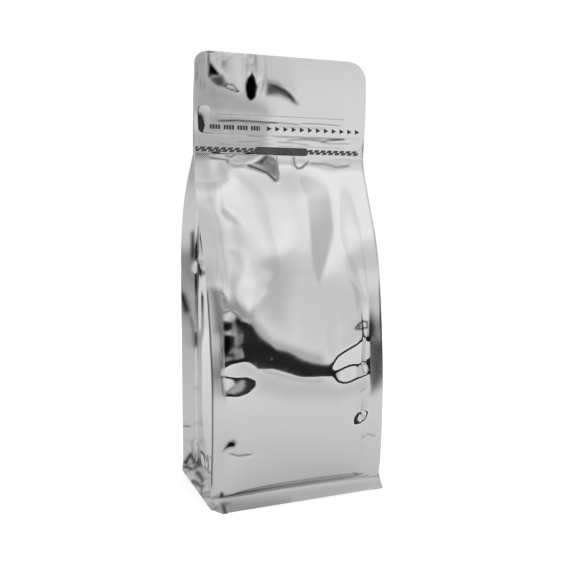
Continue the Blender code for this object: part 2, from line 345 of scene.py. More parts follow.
# Thin creases in the same way: (elevation mirrored, half width, fade at the ends, points in x and z).
THIN_CREASES = (
    # low on the front, beside both seals
    (0.8, 1.1, 5, ((-44.5, 33.2), (-40.0, 31.2), (-35.5, 30.7), (-29.3, 31.7))),
    (-3.6, 0.7, 3, ((39.5, 34.3), (43.9, 35.0), (46.7, 33.5), (50.5, 33.0))),
    (-1.5, 0.35, 4, ((39.7, 31.5), (41.8, 22.0), (45.2, 15.5))),
    # under the header
    (1.5, 0.75, 2, ((-24.5, 198.6), (-16.6, 196.1), (-10.5, 193.6), (-5.3, 188.6))),
    (3.2, 0.5, 2, ((-9.4, 204.3), (-5.3, 200.8), (-4.2, 195.1), (-5.0, 188.8))),
    (3.8, 0.6, 3, ((-14.6, 201.9), (-22.0, 198.7), (-28.3, 198.2), (-33.7, 198.7), (-35.9, 201.2))),
    (3.6, 0.6, 4, ((-47.5, 203.1), (-41.2, 202.7), (-35.1, 201.9))),
    (4.1, 0.5, 2, ((-34.3, 204.9), (-31.2, 203.5), (-23.3, 204.4))),
    (3.9, 0.55, 2, ((10.5, 205.3), (7.4, 203.3), (6.8, 200.2), (9.2, 197.8), (12.6, 198.2), (15.6, 201.6))),
    (4.3, 0.7, 4, ((15.7, 202.3), (24.9, 201.9), (31.6, 199.7), (39.2, 199.7), (45.5, 202.0))),
    # along the top edge
    (4.0, 0.45, 1, ((-47.2, 263.6), (-42.5, 263.9))),
    (4.1, 0.45, 2, ((-36.5, 263.9), (-31.5, 263.9))),
    (4.1, 0.45, 2, ((-25, 264.0), (-18.5, 263.9))),
    # over the tear strip, and the film that it lies on
    (2.0, 0.6, 4, ((-44.0, 229.0), (-31.1, 228.9), (-7.9, 229.2), (11.7, 229.2), (44, 229.0))),
    (3.0, 1.1, 8, ((-44.1, 224.6), (-29.1, 225.7), (-16.5, 225.4), (0, 225.2))),
    (3.0, 0.7, 5, ((10, 225.4), (24, 225.8), (41, 225.1))),
    # the pressed zipper
    (3.2, 0.30, 1, ((-44.2, 215.6), (-35.4, 215.1))),
    (3.6, 0.28, 2, ((-44.2, 213.5), (-35.9, 211.8))),
    (3.0, 0.32, 1, ((-32.2, 217.3), (-25.6, 215.6), (-32.3, 214.5))),
    (2.0, 0.6, 6, ((-25.1, 216.8), (8.0, 217.0), (43.9, 217.0))),
    (2.5, 0.65, 5, ((1.4, 215.1), (14.7, 215.6), (27.2, 215.3), (43.9, 216.8))),
    (2.8, 0.6, 5, ((24.3, 214.4), (32.0, 213.8), (46.9, 214.3))),
    (2.6, 0.6, 6, ((-31.4, 213.0), (-16.1, 213.7), (2.4, 213.7), (20, 212.6))),
    (4.2, 0.6, 9, ((-45.0, 211.4), (-20.1, 211.0), (12.4, 211.2), (44, 211.4))),
    # two fine ones at the left of the header
    (4.2, 0.35, 1, ((-44.0, 237.2), (-37, 236.8), (-30, 234.4))),
    (4.2, 0.4, 1, ((-43.0, 231.6), (-38, 230.9), (-33, 231.5))),
)


def soft_swells(x, z):
    """Broad, shallow unevenness that leaves soft lights on the film."""
    move = bump(x, z, (-27, 171), (5.0, 9.0), -35, 0.25)
    move += crease(x, z, ((-41.5, 160), (-34, 149.5), (-26.4, 128)), 3.4, 0.7, 12)
    move += bump(x, z, (-15.0, 250), (1.6, 12), 0, 0.10)
    move += bump(x, z, (20, 60), (22, 16), 20, 0.25)
    move += bump(x, z, (-18, 44), (18, 12), -15, 0.25)
    return move


class FrontFilm:
    """The depth y of the front film, worked out once on a fine grid and read between its points."""

    STEP_X = 0.4
    STEP_Z = 0.36

    def __init__(self):
        self.xs = np.arange(-HALF, HALF + self.STEP_X / 2, self.STEP_X)
        self.zs = np.arange(CREASE, TALL + self.STEP_Z, self.STEP_Z)
        x, z = np.meshgrid(self.xs, self.zs, indexing="ij")
        belly = self.soften(self.build(x, z), 0)
        seal = self.corner_lines(x, z)
        # Near the left seal the belly stands forward no further than a slope allows.
        steep = 0.26 + 0.54 * smooth((140 - z) / 34)
        most = 1.0 + steep * np.clip(x + ROOT, 0, None)
        soft = 0.8 + 2.4 * smooth((z - 104) / 26)
        belly = seal + soft * np.logaddexp((belly - seal) / soft, -most / soft)
        wide = 6.0 + 13.0 * smooth((z - 118) / 30) + 6 * smooth((30 - z) / 20)
        wide += 3.0 * smooth(-x / 20) * smooth((130 - z) / 12)
        inward = clamp((ROOT - np.abs(x)) / wide)
        sudden = smooth(-x / 10) * smooth((136 - z) / 16)
        filled = smooth(inward) * (1 - sudden) + (1 - (1 - inward) ** 2) * sudden
        head = HEAD + LEAN * (z - FOOT)
        depth = np.where(z >= FOOT, head, seal + filled * (belly - seal)) + soft_swells(x, z)
        depth += self.side_facet(x, z)
        self.depth = depth + self.pinches(x, z, depth)

    @staticmethod
    def corner_lines(x, z):
        """Depth of the corner seals, blended across; the left one is turned, with its root drawn back."""
        share = smooth((x + ROOT) / (2 * ROOT))
        turn = 1.7 * smooth((z - 10) / 25) * smooth((200 - z) / 60) * clamp((x + HALF) / 7.7)
        return (curve(z, LEFT_SEAL) + turn) * (1 - share) + curve(z, RIGHT_SEAL) * share

    @staticmethod
    def lower(x, z):
        """The filled lower part of the panel, which swells out over the bottom seal."""
        pillow = clamp(1 - np.abs(x / ROOT) ** 2.6) ** 0.7
        out = ease((z - CREASE) / 34, 2.6)
        seal = FrontFilm.corner_lines(x, z)
        return seal - 6.2 * pillow * out - 0.6 * pillow * smooth((z - 35) / 35)

    @staticmethod
    def side_facet(x, z):
        """A long narrow facet that turns to the right between two upright folds under the header."""
        left = curve(z, ((120, 10.9), (129, 10.7), (137, 9.3), (163, 10.6), (182, 10.0), (206, 9.0)))
        right = curve(z, ((120, 11.5), (129, 13.6), (148, 22.7), (168, 29.7), (182, 31.1), (206, 30)))
        soft = 0.7 + 1.3 * smooth((z - 140) / 40)
        turned = soft * np.logaddexp(0, (x - left) / soft) - soft * np.logaddexp(0, (x - right) / soft)
        rising = (right - left) * clamp((x + 35) / (left + 35))
        away = np.exp(-((np.clip(x - right, 0, None) / 16) ** 2))
        return 0.20 * (turned - rising) * away * smooth((202 - z) / 22) * smooth((z - 124) / 8)

    def build(self, x, z):
        """The panel between its seals: the swell, the belly fold, and the film that leans back above it."""
        x, z = np.clip(x, -ROOT - 1, ROOT + 1), np.minimum(z, FOOT)
        low_slope = (self.lower(x, z + 0.05) - self.lower(x, z - 0.05)) / 0.1
        low = np.minimum(mirrored_elevation(low_slope, x, z), -15.0 - 0.05 * np.abs(z - 60))
        top, foot = across(x, FOLD_TOP), across(x, FOLD_FOOT)
        edge = -np.degrees(np.arctan(z / TABLE_EDGE)) + 0.8
        share = (z - foot) / np.maximum(top - foot, 1.0)
        turning = edge + (3.2 - edge) * clamp(share)
        fading = np.exp(np.clip((z - foot) / 2.5, -30, 0))
        fold = slope_that_mirrors(np.where(share < 0, low + (turning - low) * fading, turning), x, z)
        high, middle, lowest = (across(x, line, 0.8) for line in (CREASE_TOP, CREASE_MIDDLE, CREASE_LOW))
        facet = sigmoid((z - lowest) / 0.55) - sigmoid((z - middle) / 0.55)
        split = slope_that_mirrors(low * (1 - facet) + 14 * facet, x, z)
        right = smooth((x - 15.5) / 3.5)
        below = fold * (1 - right) + split * right
        leaning = 1 - np.exp(-np.clip(z - top, 0, None) / 5.0)
        leaning = leaning * (1 - right) + sigmoid((z - high) / 0.55) * right
        more = sigmoid((z - across(x, LEAN_LINE, 2.0)) / across(x, LEAN_SOFTNESS, 2.0))
        above = slope_that_mirrors(16.0, x, z) * (1 - more) + slope_that_mirrors(37.0, x, z) * more
        above = above * (1 - 0.86 * smooth((z - 191) / 15) ** 1.2)
        below_header = self.zs[None, :] < FOOT
        closing = smooth((z - 130) / 30) * (1 - smooth((z - 188) / 16))
        start = self.lower(x, z)[:, :1]
        risen = self.sum_up((below * (1 - leaning) + above * leaning) * below_header)
        spare = self.sum_up(closing * below_header)
        lack = (HEAD - start[:, 0] - risen[:, -1]) / spare[:, -1]
        return start + risen + lack[:, None] * spare

    def sum_up(self, slope):
        steps = np.cumsum((slope[:, 1:] + slope[:, :-1]) / 2 * self.STEP_Z, axis=1)
        return np.concatenate([np.zeros((len(self.xs), 1)), steps], axis=1)

    def blurred(self, depth, spread):
        """The same film evened out across its width."""
        reach = int(3 * spread / self.STEP_X) + 1
        weights = np.exp(-0.5 * (np.arange(-reach, reach + 1) * self.STEP_X / spread) ** 2)
        weights /= weights.sum()
        padded = np.pad(depth, ((reach, reach), (0, 0)), mode="edge")
        return sum(weight * padded[i : i + len(depth)] for i, weight in enumerate(weights))

    def soften(self, depth, start):
        """Evens the film out across its width, more so higher up where nothing pinches it."""
        for spread, low, high in ((1.2, 60, 61), (3.0, 97, 108), (6.0, 112, 150)):
            share = smooth((self.zs - low) / (high - low))[None, :]
            depth = depth * (1 - share) + self.blurred(depth, spread) * share
        return depth

    def pinches(self, x, z, depth):
        """Leans the film to its slope in each facet and crease, and lets it settle back above them."""
        plain = np.gradient(depth, self.STEP_Z, axis=1)
        settle = 9.0 + 5.0 * smooth((self.zs - 122) / 10) - 10.5 * smooth((self.zs - 196) / 5)
        settle += 6.5 * smooth((self.zs - 213) / 6)
        moved = np.zeros_like(depth)
        # The second round knows how far the first one has turned the film to the side.
        for _ in range(2):
            turned = self.blurred(np.gradient(depth + moved, self.STEP_X, axis=0), 0.5)
            slope, held = self.pinched_slope(x, z, plain, np.clip(turned, -1.6, 1.6))
            offset = np.zeros_like(depth)
            for j in range(1, len(self.zs)):
                step = self.STEP_Z * (slope[:, j] - plain[:, j])
                offset[:, j] = (offset[:, j - 1] + step) / (1 + self.STEP_Z * (1 - held[:, j]) / settle[j])
            moved = self.blurred(offset, 0.35)
        return moved

    def pinched_slope(self, x, z, plain, turned):
        """The slope with every facet and crease in it, and how firmly each place is held to it."""
        slope = plain.copy()
        held = np.zeros_like(plain)

        def lean(window, share, elevation):
            if isinstance(elevation, tuple):
                own = mirrored_elevation(slope[window], x[window], z[window], turned[window])
                elevation = np.clip(own, *elevation)
            target = slope_that_mirrors(elevation, x[window], z[window], turned[window])
            slope[window] += share * (target - slope[window])
            held[window] += share * (1 - held[window])

        for elevation, soft, outline in FACETS:
            window = self.window(outline, 7 * soft)
            lean(window, inside(x[window], z[window], outline, soft), elevation)
        for elevation, width, fade, points in THIN_CREASES:
            window = self.window(points, 4 * width)
            lean(window, stroke(x[window], z[window], points, width, fade), elevation)
        return slope, held

    def window(self, points, margin):
        """The part of the grid that lies round some points."""
        xs, zs = [p[0] for p in points], [p[1] for p in points]
        first = np.searchsorted(self.xs, (min(xs) - margin, max(xs) + margin))
        second = np.searchsorted(self.zs, (min(zs) - margin, max(zs) + margin))
        return slice(first[0], first[1]), slice(second[0], second[1])

    def y(self, x, z):
        x, ground = np.asarray(x, float), np.asarray(z, float)
        # The crease over the bottom seal lies lower towards the left.
        bend = np.interp(x, (-HALF, -ROOT, -20, 0, HALF), (4.8, 5.0, 6.3, 6.6, 7.2))
        above = CREASE + (ground - bend) * (20 - CREASE) / (20 - bend)
        z = np.where(ground < bend, ground * CREASE / bend, np.where(ground < 20, above, ground))
        i = np.clip((x - self.xs[0]) / self.STEP_X, 0, len(self.xs) - 1.001)
        j = np.clip((z - self.zs[0]) / self.STEP_Z, 0, len(self.zs) - 1.001)
        i0, j0 = i.astype(int), j.astype(int)
        a, b = i - i0, j - j0
        d = self.depth
        low = d[i0, j0] * (1 - a) + d[i0 + 1, j0] * a
        high = d[i0, j0 + 1] * (1 - a) + d[i0 + 1, j0 + 1] * a
        y = low * (1 - b) + high * b
        # The bottom seal flares to the ground, and the corner strips stand proud of it.
        left = smooth((ROOT - x) / (2 * ROOT))
        foot = curve(z, LEFT_SEAL) * left + curve(z, RIGHT_SEAL) * (1 - left)
        y = np.where(z < CREASE, foot, y)
        down = clamp(1 - ground / bend)
        y = y - 4.6 * clamp((50 - x) / 100) * down + 8.0 * smooth((-49.5 - x) / 5.5) * down
        y = y - 0.8 * smooth((np.abs(x) - 46.2) / 0.9) * smooth((bend + 1.2 - ground) / 1.5)
        # The outer edge of each corner seal curls back, the left one in a narrow strip.
        curled = 0.3 * np.clip(-53.7 - x, 0, None) * smooth((138 - ground) / 14) * smooth((ground - 12) / 8)
        return y + curled + 0.55 * smooth((x - 54.2) / 0.8) * smooth((FOOT + 12 - ground) / 10)


def back_seal(z):
    lean = ease((FOOT - z) / (FOOT - 140.0), 2.0)
    tuck = 1.0 * (1 - smooth((z - CREASE) / 40))
    splay = 3.0 * clamp((CREASE - z) / CREASE)
    head = 0.95 + LEAN * np.clip(z - FOOT, 0, None) + 2.4 * smooth((238 - z) / 30)
    return head + (BACK_DEPTH - 3.35) * lean + splay - tuck


def back_film(x, z):
    """The depth y of the back film, with a few soft folds of its own."""
    fullness = ease((z - CREASE) / 30, 2.5) * smooth((FOOT - z) / 95)
    pillow = clamp(1 - np.abs(x / ROOT) ** 2.4) ** 0.8
    gape = 2.4 * smooth((238 - z) / 30) * smooth((z - 190) / 16) * smooth((46 - np.abs(x)) / 20)
    y = back_seal(z) + BACK_SWELL * fullness * pillow - gape
    y -= bump(x, z, (-30, 150), (14, 9), 35, 1.4)
    y -= bump(x, z, (26, 158), (12, 8), -30, 1.3)
    y -= crease(x, z, ((-42, 180), (-25, 150), (-5, 116)), 3.6, 1.3, 22)
    y -= crease(x, z, ((40, 174), (30, 140), (13, 106)), 3.6, 1.1, 22)
    y -= crease(x, z, ((-45, 96), (-30, 92), (-12, 97)), 1.2, 0.8, 8)
    y -= crease(x, z, ((45, 88), (33, 90), (20, 84)), 1.2, 0.7, 8)
    y -= crease(x, z, ((-44, 203), (-20, 199), (0, 202)), 1.2, 0.6, 8)
    y -= crease(x, z, ((8, 203), (26, 198), (44, 202)), 1.2, 0.6, 8)
    y -= bump(x, z, (-41, 60), (4.0, 1.8), 20, 0.9)
    y -= bump(x, z, (40, 44), (4.0, 1.7), -35, 0.9)
    y += bump(x, z, (-20, 248), (4.0, 8.0), 15, 0.8)
    turned = 0.42 * np.clip(np.abs(x) - ROOT, 0, None) * smooth((204 - z) / 26)
    drawn_in = np.clip(49.6 - np.abs(x), 0, 2.3) * smooth((np.abs(x) - 38) / 8)
    drawn_in *= clamp((172 - z) / 30) * smooth((z - 131) / 9)
    return y + turned - 1.05 * drawn_in + rear_fin_folds(x, z)


def rear_fin_folds(x, z):
    """Creases of the rear corner seals where the side film folds in behind them."""
    out = np.abs(x)
    fin = smooth((out - 45.5) / 1.5)
    move = crease(out, z, ((62, 137), (51, 113), (47.5, 98), (46, 82)), 3.5, -0.6, 12)
    move += crease(out, z, ((55.5, 32), (51, 32.3), (47, 32)), 0.5, 0.5, 1)
    move += crease(out, z, ((52.5, 22), (50.0, 15), (48.5, 10)), 0.9, 0.9, 4)
    move += crease(out, z, ((48.0, 24), (48.5, 15), (50, 9)), 0.7, -0.7, 4)
    return move * fin


def crumple(a, b, size, phase):
    """Small irregular facets, for film that has been pressed into a corner; a and b are in millimetres."""
    u, v = a / size, b / size
    waves = np.sin(2.1 * u + 1.3 * v + phase) + np.sin(-1.4 * u + 2.3 * v + 2.1 * phase)
    return np.abs(waves + 0.6 * np.sin(3.7 * u - 2.9 * v + phase * 3.3)) - 1.0


def side_film(share, z, sign):
    """How far the side film lies from the middle plane, from the front seal (0) to the back seal (1)."""
    front = curve(z, LEFT_SEAL if sign < 0 else RIGHT_SEAL)
    half_gap = (back_seal(z) - front) / 2
    folded = np.sqrt(np.clip(SIDE_FOLDED**2 - half_gap**2, 0, None))
    folding = smooth((z - 118) / 47)
    closing = smooth((z - 192) / 14)
    fullness = ease((z - CREASE) / 30, 2.5) * smooth((FOOT - z) / 95)
    centred = 2 * share - 1
    pillow = clamp(1 - np.abs(centred) ** 2.4) ** 0.8
    # The film runs straight for a little way beside each seal before it folds in.
    straight = 0.30 * smooth((192 - z) / 20)
    creased = clamp((1 - np.abs(centred) - straight) / (1 - straight))
    depth = -SIDE_SWELL * fullness * (1 - folding) * pillow + folded * folding * creased * (1 - closing)
    mm = centred * SIDE_HALF
    depth += crease(mm, z, ((23, 139), (21, 124), (22, 80)), 3.6, 0.9, 24)
    depth += crease(mm, z, ((0, 140), (-27, 112)), 1.4, 0.8, 9)
    depth += crease(mm, z, ((33, 139.5), (12, 142), (-8, 152)), 1.3, 0.9, 6)
    depth -= crease(mm, z, ((29, 140), (28, 80), (28, 30)), 1.3, 0.3, 20)
    depth += crease(mm, z, ((-14, 132), (-11, 90), (-13, 40)), 2.4, 0.45, 25)
    depth += crease(mm, z, ((12, 100), (14, 70), (12, 24)), 2.4, 0.4, 20)
    corner = smooth((30 - z) / 16) * smooth((z - 5) / 6)
    depth += 0.6 * corner * crumple(mm, z, 6.5, 1.0 + sign)
    depth += 1.5 * closing * creased
    return ROOT + 8.0 * closing - depth


def spread(count):
    """Shares from 0 to 1 in even steps, both ends included."""
    return np.arange(count + 1) / count


FRONT_STEPS = 124
BACK_STEPS = 36
SEAL_STEPS = 10
FIN_STEPS = 9
SIDE_STEPS = 25


def panel_columns(steps, seal_steps):
    """Positions across a panel, the seals included."""
    seal = np.concatenate([[0.0], 1.3 + (HALF - ROOT - 1.3) * spread(seal_steps - 1)])
    return np.concatenate([-HALF + seal, (-ROOT + 2 * ROOT * spread(steps))[1:-1], HALF - seal[::-1]])


def reach(z, x):
    """The half width at height z on the side that x is on: full, but for the rounded top corners."""
    radius = np.where(x < 0, CORNER_LEFT, CORNER_RIGHT)
    above = np.clip(z - (TALL - radius), 0, radius)
    wider = np.where(x < 0, -0.9 * smooth((z - 236) / 20), 1.9 * smooth((z - 196) / 50))
    return HALF + wider - radius + np.sqrt(radius**2 - above**2)


def rows():
    """Heights of the shell's rings from the ground to the top edge."""
    # Each span runs from one height to the next in so many steps, with more where creases are finest.
    spans = (
        (0, 5, 7), (5, 10, 14), (10, 20, 9), (20, 28, 7), (28, 52, 36), (52, 64, 12),
        (64, 126, 90), (126, 188, 38), (188, 234, 74), (234, 265, 40),
    )
    levels = [0.0]
    for low, high, count in spans:
        levels += list(low + (high - low) * spread(count)[1:])
    return np.array(levels)


def side_ring(film, z, sign):
    """One height of a side: in behind the front seal, across the side film, and out along the rear seal."""
    edge = float(reach(z, np.float64(sign)))
    share = spread(SIDE_STEPS)
    out = spread(FIN_STEPS)
    first = side_film(share, np.full_like(share, z), sign) - (HALF - edge)
    front_x = edge + (first[0] - edge) * out[:-1]
    rear_x = (first[-1] + (edge - first[-1]) * out)[1:]
    behind = film.y(sign * front_x, np.full_like(front_x, z)) + FILM_PAIR
    before = back_film(sign * rear_x, np.full_like(rear_x, z)) - FILM_PAIR
    root_front = float(film.y(sign * ROOT, z)) + FILM_PAIR if z < FOOT else behind[-1]
    root_rear = float(back_film(np.float64(sign * ROOT), np.float64(z))) - FILM_PAIR
    x = np.concatenate([front_x, first, rear_x])
    y = np.concatenate([behind, root_front + (root_rear - root_front) * share, before])
    if z < CREASE:
        # Below the crease the side film runs down and out to the ground in two loosely pressed facets.
        down = 1 - z / CREASE
        even = behind[0] + (before[-1] - behind[0]) * spread(len(x) - 1)
        wave = 0.5 * down * (1 - down) * 4 * crumple(even, 6 * down, 8.0, 2.0 + sign)
        ridge = 1.6 * 4 * down * (1 - down) * np.exp(-(((even + 6) / 7) ** 2))
        x = x * (1 - down) + edge * down + wave + ridge
        y = y * (1 - down) + even * down
    flag = np.concatenate([np.ones(FIN_STEPS), np.zeros(len(share)), np.full(FIN_STEPS, 2.0)])
    level = np.full_like(x, z)
    # Painted shade and dark reflections in lines on the side film and on the rear seal.
    side = marked(y + 3, level, SIDE_LINES) * (flag == 0)
    rear = marked(x, level, REAR_LINES) * (flag == 2)
    return sign * x, y, flag, np.maximum(side, rear)


# Painted shade and dark reflections in lines along creases: (strength, half width, fade, points in x and
# z).
FRONT_LINES = (
    # the dents of the header, and the pressed rows of its left seal
    (0.95, 0.7, 2, ((-46.0, 264.0), (-46.1, 249.3))),
    (0.8, 0.5, 1, ((-46.2, 264.2), (-42.6, 264.4))),
    (0.95, 0.5, 0.5, (
        (-36.4, 244.9), (-34.4, 246.8), (-31.2, 246.4), (-27.4, 242.4), (-30.6, 243.0), (-34.0, 243.9),
        (-36.4, 244.9),
    )),
    (0.50, 0.7, 2, ((-7.8, 248.6), (-0.6, 246.7), (5.4, 242.0), (10.6, 237.2))),
    (0.6, 0.4, 5, ((-53.0, 261), (-53.0, 240))),
    (0.6, 0.4, 5, ((-50.9, 262), (-50.9, 238))),
    (0.6, 0.4, 5, ((-48.6, 262), (-48.6, 240))),
    # the creases under the header
    (0.7, 0.7, 2, ((-46.2, 203.1), (-35.0, 202.0), (-34.2, 199.9))),
    (0.40, 0.5, 2, ((-34.2, 199.9), (-30.6, 198.4), (-23.4, 199.5))),
    (0.95, 0.95, 2, ((-23.4, 199.3), (-17.8, 197.4), (-11.0, 194.8), (-6.2, 189.1))),
    (0.85, 0.7, 2, ((-9.8, 205.3), (-5.4, 201.7), (-4.6, 197.4), (-5.8, 189.8))),
    (0.8, 0.6, 1, ((7.4, 204.9), (7.4, 201.3), (9.4, 197.7), (12.2, 198.4), (16.6, 201.7), (17.4, 202.8))),
    (0.6, 0.7, 4, ((17.4, 201.3), (27.8, 201.0), (35.8, 199.2), (45.8, 200.2))),
    (0.8, 0.6, 1, ((-36.5, 204.5), (-32.5, 203.8), (-30.0, 205.5))),
    # the belly fold along its top and foot, and the marks at its left end
    (0.40, 3.6, 8, ((-41, 122), (-36, 114.5), (-28, 104.5), (-21, 96.5), (-10, 92.5), (2, 87.5), (14, 84))),
    (0.30, 2.0, 6, ((-28, 82.5), (-18, 79), (-8, 75.5), (4, 73), (14, 73))),
    (0.85, 0.5, 0.5, ((-46.8, 126.5), (-45.6, 124.4))),
    (0.85, 0.5, 0.5, ((-45.8, 121.5), (-44.4, 120.4))),
    (0.8, 0.5, 1, ((-46.4, 113.6), (-42.0, 115.6), (-37.7, 111.8), (-36.6, 109.5))),
    # the puckers beside the right seal, from the fold down
    (0.95, 0.62, 0.5, (
        (34.6, 101.5), (36.8, 103.7), (41.0, 105.5), (44.6, 104.7), (44.4, 101.4), (39.4, 101.2),
        (34.6, 101.5),
    )),
    (0.5, 0.7, 1.5, ((36.5, 63.0), (42.5, 64.6))),
    (0.4, 0.6, 2, ((39.0, 33.6), (44.5, 35.2), (50.5, 33.2))),
    # over the bottom seal
    (0.8, 0.55, 4, ((-44.6, 33.0), (-39.8, 31.6), (-31.0, 32.0))),
    (0.7, 0.45, 1, ((36.6, 10.5), (39.8, 8.6), (43.4, 9.4))),
)
# Painted shade and dark reflections in patches: (strength, softness of the edge, outline in x and z).
FRONT_SHADES = (
    # the dents and the left half of the header
    (0.92, 0.3, (
        (-46.2, 263.5), (-45.0, 258.8), (-42.8, 256.2), (-39.0, 251.8), (-42.2, 250.9), (-46.2, 249.3),
    )),
    (0.72, 0.6, (
        (-46.2, 250.3), (-44.6, 247.0), (-40.8, 244.2), (-35.2, 244.0), (-34.2, 247.0), (-37.4, 251.9),
        (-39.2, 252.1),
    )),
    (0.42, 0.9, ((-39.0, 260.0), (-32.2, 262.9), (-33.0, 255.3), (-36.2, 252.1), (-38.6, 257.1))),
    (0.55, 0.6, ((-15.2, 238.2), (-11.6, 251.8), (-10.4, 248.8), (-13.4, 243.4))),
    (0.58, 0.5, (
        (-10.4, 250.6), (-2.4, 249.5), (4.6, 244.2), (11.2, 236.8), (9.6, 236.0), (3.4, 239.3),
        (-2.2, 241.0), (-10.4, 240.5),
    )),
    (0.97, 0.3, (
        (-20.6, 252.1), (-22.6, 250.6), (-23.7, 247.2), (-23.5, 243.0), (-22.4, 239.2), (-20.6, 237.1),
        (-18.6, 238.6), (-17.5, 242.5), (-17.5, 247.2), (-18.6, 250.8),
    )),
    (0.25, 1.0, ((-22, 264), (-16.5, 264), (-16.5, 254), (-22, 254))),
    (0.40, 1.8, ((-56, 266), (-46.8, 266), (-46, 250), (-30, 243), (-12, 237), (-8, 229), (-56, 229))),
    # the left half of the pressed zipper, and the creases under the header
    (0.32, 1.2, ((-56, 218), (-12, 218), (-12, 206), (-22, 203), (-56, 205))),
    (0.92, 0.5, ((-18.2, 200.2), (-11.6, 206.0), (-8.8, 204.8), (-13.8, 199.0))),
    (0.68, 0.7, (
        (-11.0, 205.4), (-6.2, 202.8), (-4.2, 198.4), (-5.8, 190.2), (-9.0, 193.4), (-16.0, 199.5),
    )),
    # the upper front, in broad faint shades
    (0.18, 2.2, (
        (-36, 161), (-32, 161), (-26, 154), (-19, 147), (-9, 141), (-4, 134), (-8, 121), (-11, 108),
        (-21, 109), (-25, 122), (-27, 133), (-32, 146),
    )),
    (0.16, 1.6, ((-39, 162), (-34, 164), (-27, 157), (-19, 148), (-21, 137), (-27, 137), (-34, 148))),
    (0.12, 3.0, ((-5, 197), (8, 197), (10, 172), (8, 152), (2, 152), (-2, 175))),
    (0.33, 2.4, (
        (-60, 134), (-43, 128), (-38, 122), (-38, 136), (-41, 160), (-44, 171), (-48, 178), (-60, 180),
    )),
    # the belly fold and its left end
    (0.92, 0.3, ((-46.6, 109.8), (-41.4, 109.2), (-41.2, 105.4), (-43.5, 104.3), (-46.6, 104.6))),
    (0.92, 0.3, (
        (-46.2, 101.4), (-43.0, 101.6), (-40.6, 100.6), (-41.2, 96.0), (-42.8, 92.6), (-45.6, 90.5),
        (-46.6, 93.0),
    )),
    (0.52, 0.8, ((-46.8, 127.5), (-38.5, 115.5), (-47.0, 114.4))),
    (0.55, 0.8, ((-43, 110.5), (-38.2, 110.5), (-36.5, 104), (-38, 101.5), (-42.5, 104.5))),
    (0.24, 2.2, (
        (-38, 85), (-18, 79), (-6, 75), (14, 73), (22, 68), (45, 71), (45, 65), (20, 61), (-10, 64),
        (-28, 69), (-31, 80),
    )),
    # the corner seals beside the fold, and the pucker over its right end
    (0.72, 1.3, ((-53.0, 128), (-46.6, 128), (-46.8, 101), (-51.5, 104))),
    (0.68, 1.4, ((46.9, 93), (55.5, 91), (55.5, 72), (52.0, 64), (46.9, 61))),
    (0.85, 0.4, ((34.9, 101.5), (37.0, 103.5), (39.6, 104.8), (38.6, 101.5))),
    # over and on the bottom seal
    (0.85, 0.4, ((-48.0, 34.6), (-45.0, 39.6), (-42.0, 41.0), (-40.2, 39.2), (-41.5, 36.8), (-45.0, 36.0))),
    (0.3, 0.8, ((-48, 3.6), (-30, 3.2), (-8, 1.6), (-8, -2), (-48, -2))),
)
# The same on the tear strip.
STRIP_LINES = (
    (0.60, 0.5, 3, ((-45, 224.9), (-38, 225.6), (-30, 224.9))),
    (0.55, 0.6, 4, ((-40, 224.0), (-28, 224.3), (-16, 224.0), (-8, 224.3))),
    (0.40, 0.5, 3, ((-44, 227.2), (-32, 226.6), (-20, 227.2))),
    (0.40, 0.5, 2, ((-46, 218.9), (-30, 218.6), (-14, 218.8))),
    (0.55, 0.4, 1, ((-33.6, 226.8), (-33.4, 217.6))),
    (0.50, 0.6, 4, ((-12, 224.8), (0, 225.0), (12, 224.5))),
    (0.30, 0.6, 6, ((-5, 222.9), (12, 222.7), (30, 222.9))),
)
STRIP_SHADES = ((0.38, 1.8, ((-60, 236), (-45, 230), (-14, 228), (-8, 222), (-14, 216), (-60, 216))),)
# The same on the rear corner seals, by distance from the middle, and on the side films, by depth.
REAR_LINES = (
    (0.95, 2.2, 6, ((55.4, 120), (53.2, 112.5), (51.0, 104))),
    (0.55, 1.1, 8, ((50.2, 106), (48.0, 95), (46.8, 80))),
    (0.85, 1.0, 3, ((48.9, 159), (48.4, 149), (48.2, 140))),
    (0.65, 0.6, 2, ((55.5, 30.8), (50.0, 30.6))),
    (0.95, 1.2, 2, ((54.4, 5.0), (50.4, 12.0), (47.6, 5.0))),
    (0.6, 0.7, 5, ((47.7, 3), (47.6, 15))),
    (0.9, 0.7, 1, ((56, 3.3), (46, 4.3))),
)
SIDE_LINES = (
    (0.8, 1.9, 2, ((9.2, 16.5), (9.2, 19.5))),
    (0.9, 3.2, 9, ((28.5, 142), (27.5, 128), (30.5, 110))),
    (0.95, 1.2, 3, ((24, 4.4), (12, 4.6), (2, 4.4))),
    (0.9, 1.1, 3, ((19, 0.6), (8, 1.8), (-4, 4.0))),
    (0.85, 1.1, 2, ((0, 3.6), (-8, 1.0))),
)


def marked(x, z, lines, shades=()):
    """How much painted shade a level row of points carries from lines and patches."""
    dark = np.zeros(np.shape(x))
    height = float(np.mean(z))
    for strength, width, fade, points in lines:
        heights = [point[1] for point in points]
        if min(heights) - 3 * width < height < max(heights) + 3 * width:
            dark = np.maximum(dark, strength * stroke(x, z, points, width, fade))
    for strength, soft, outline in shades:
        heights = [point[1] for point in outline]
        if min(heights) - 5 * soft < height < max(heights) + 5 * soft:
            dark = np.maximum(dark, strength * inside(x, z, outline, soft))
    return dark


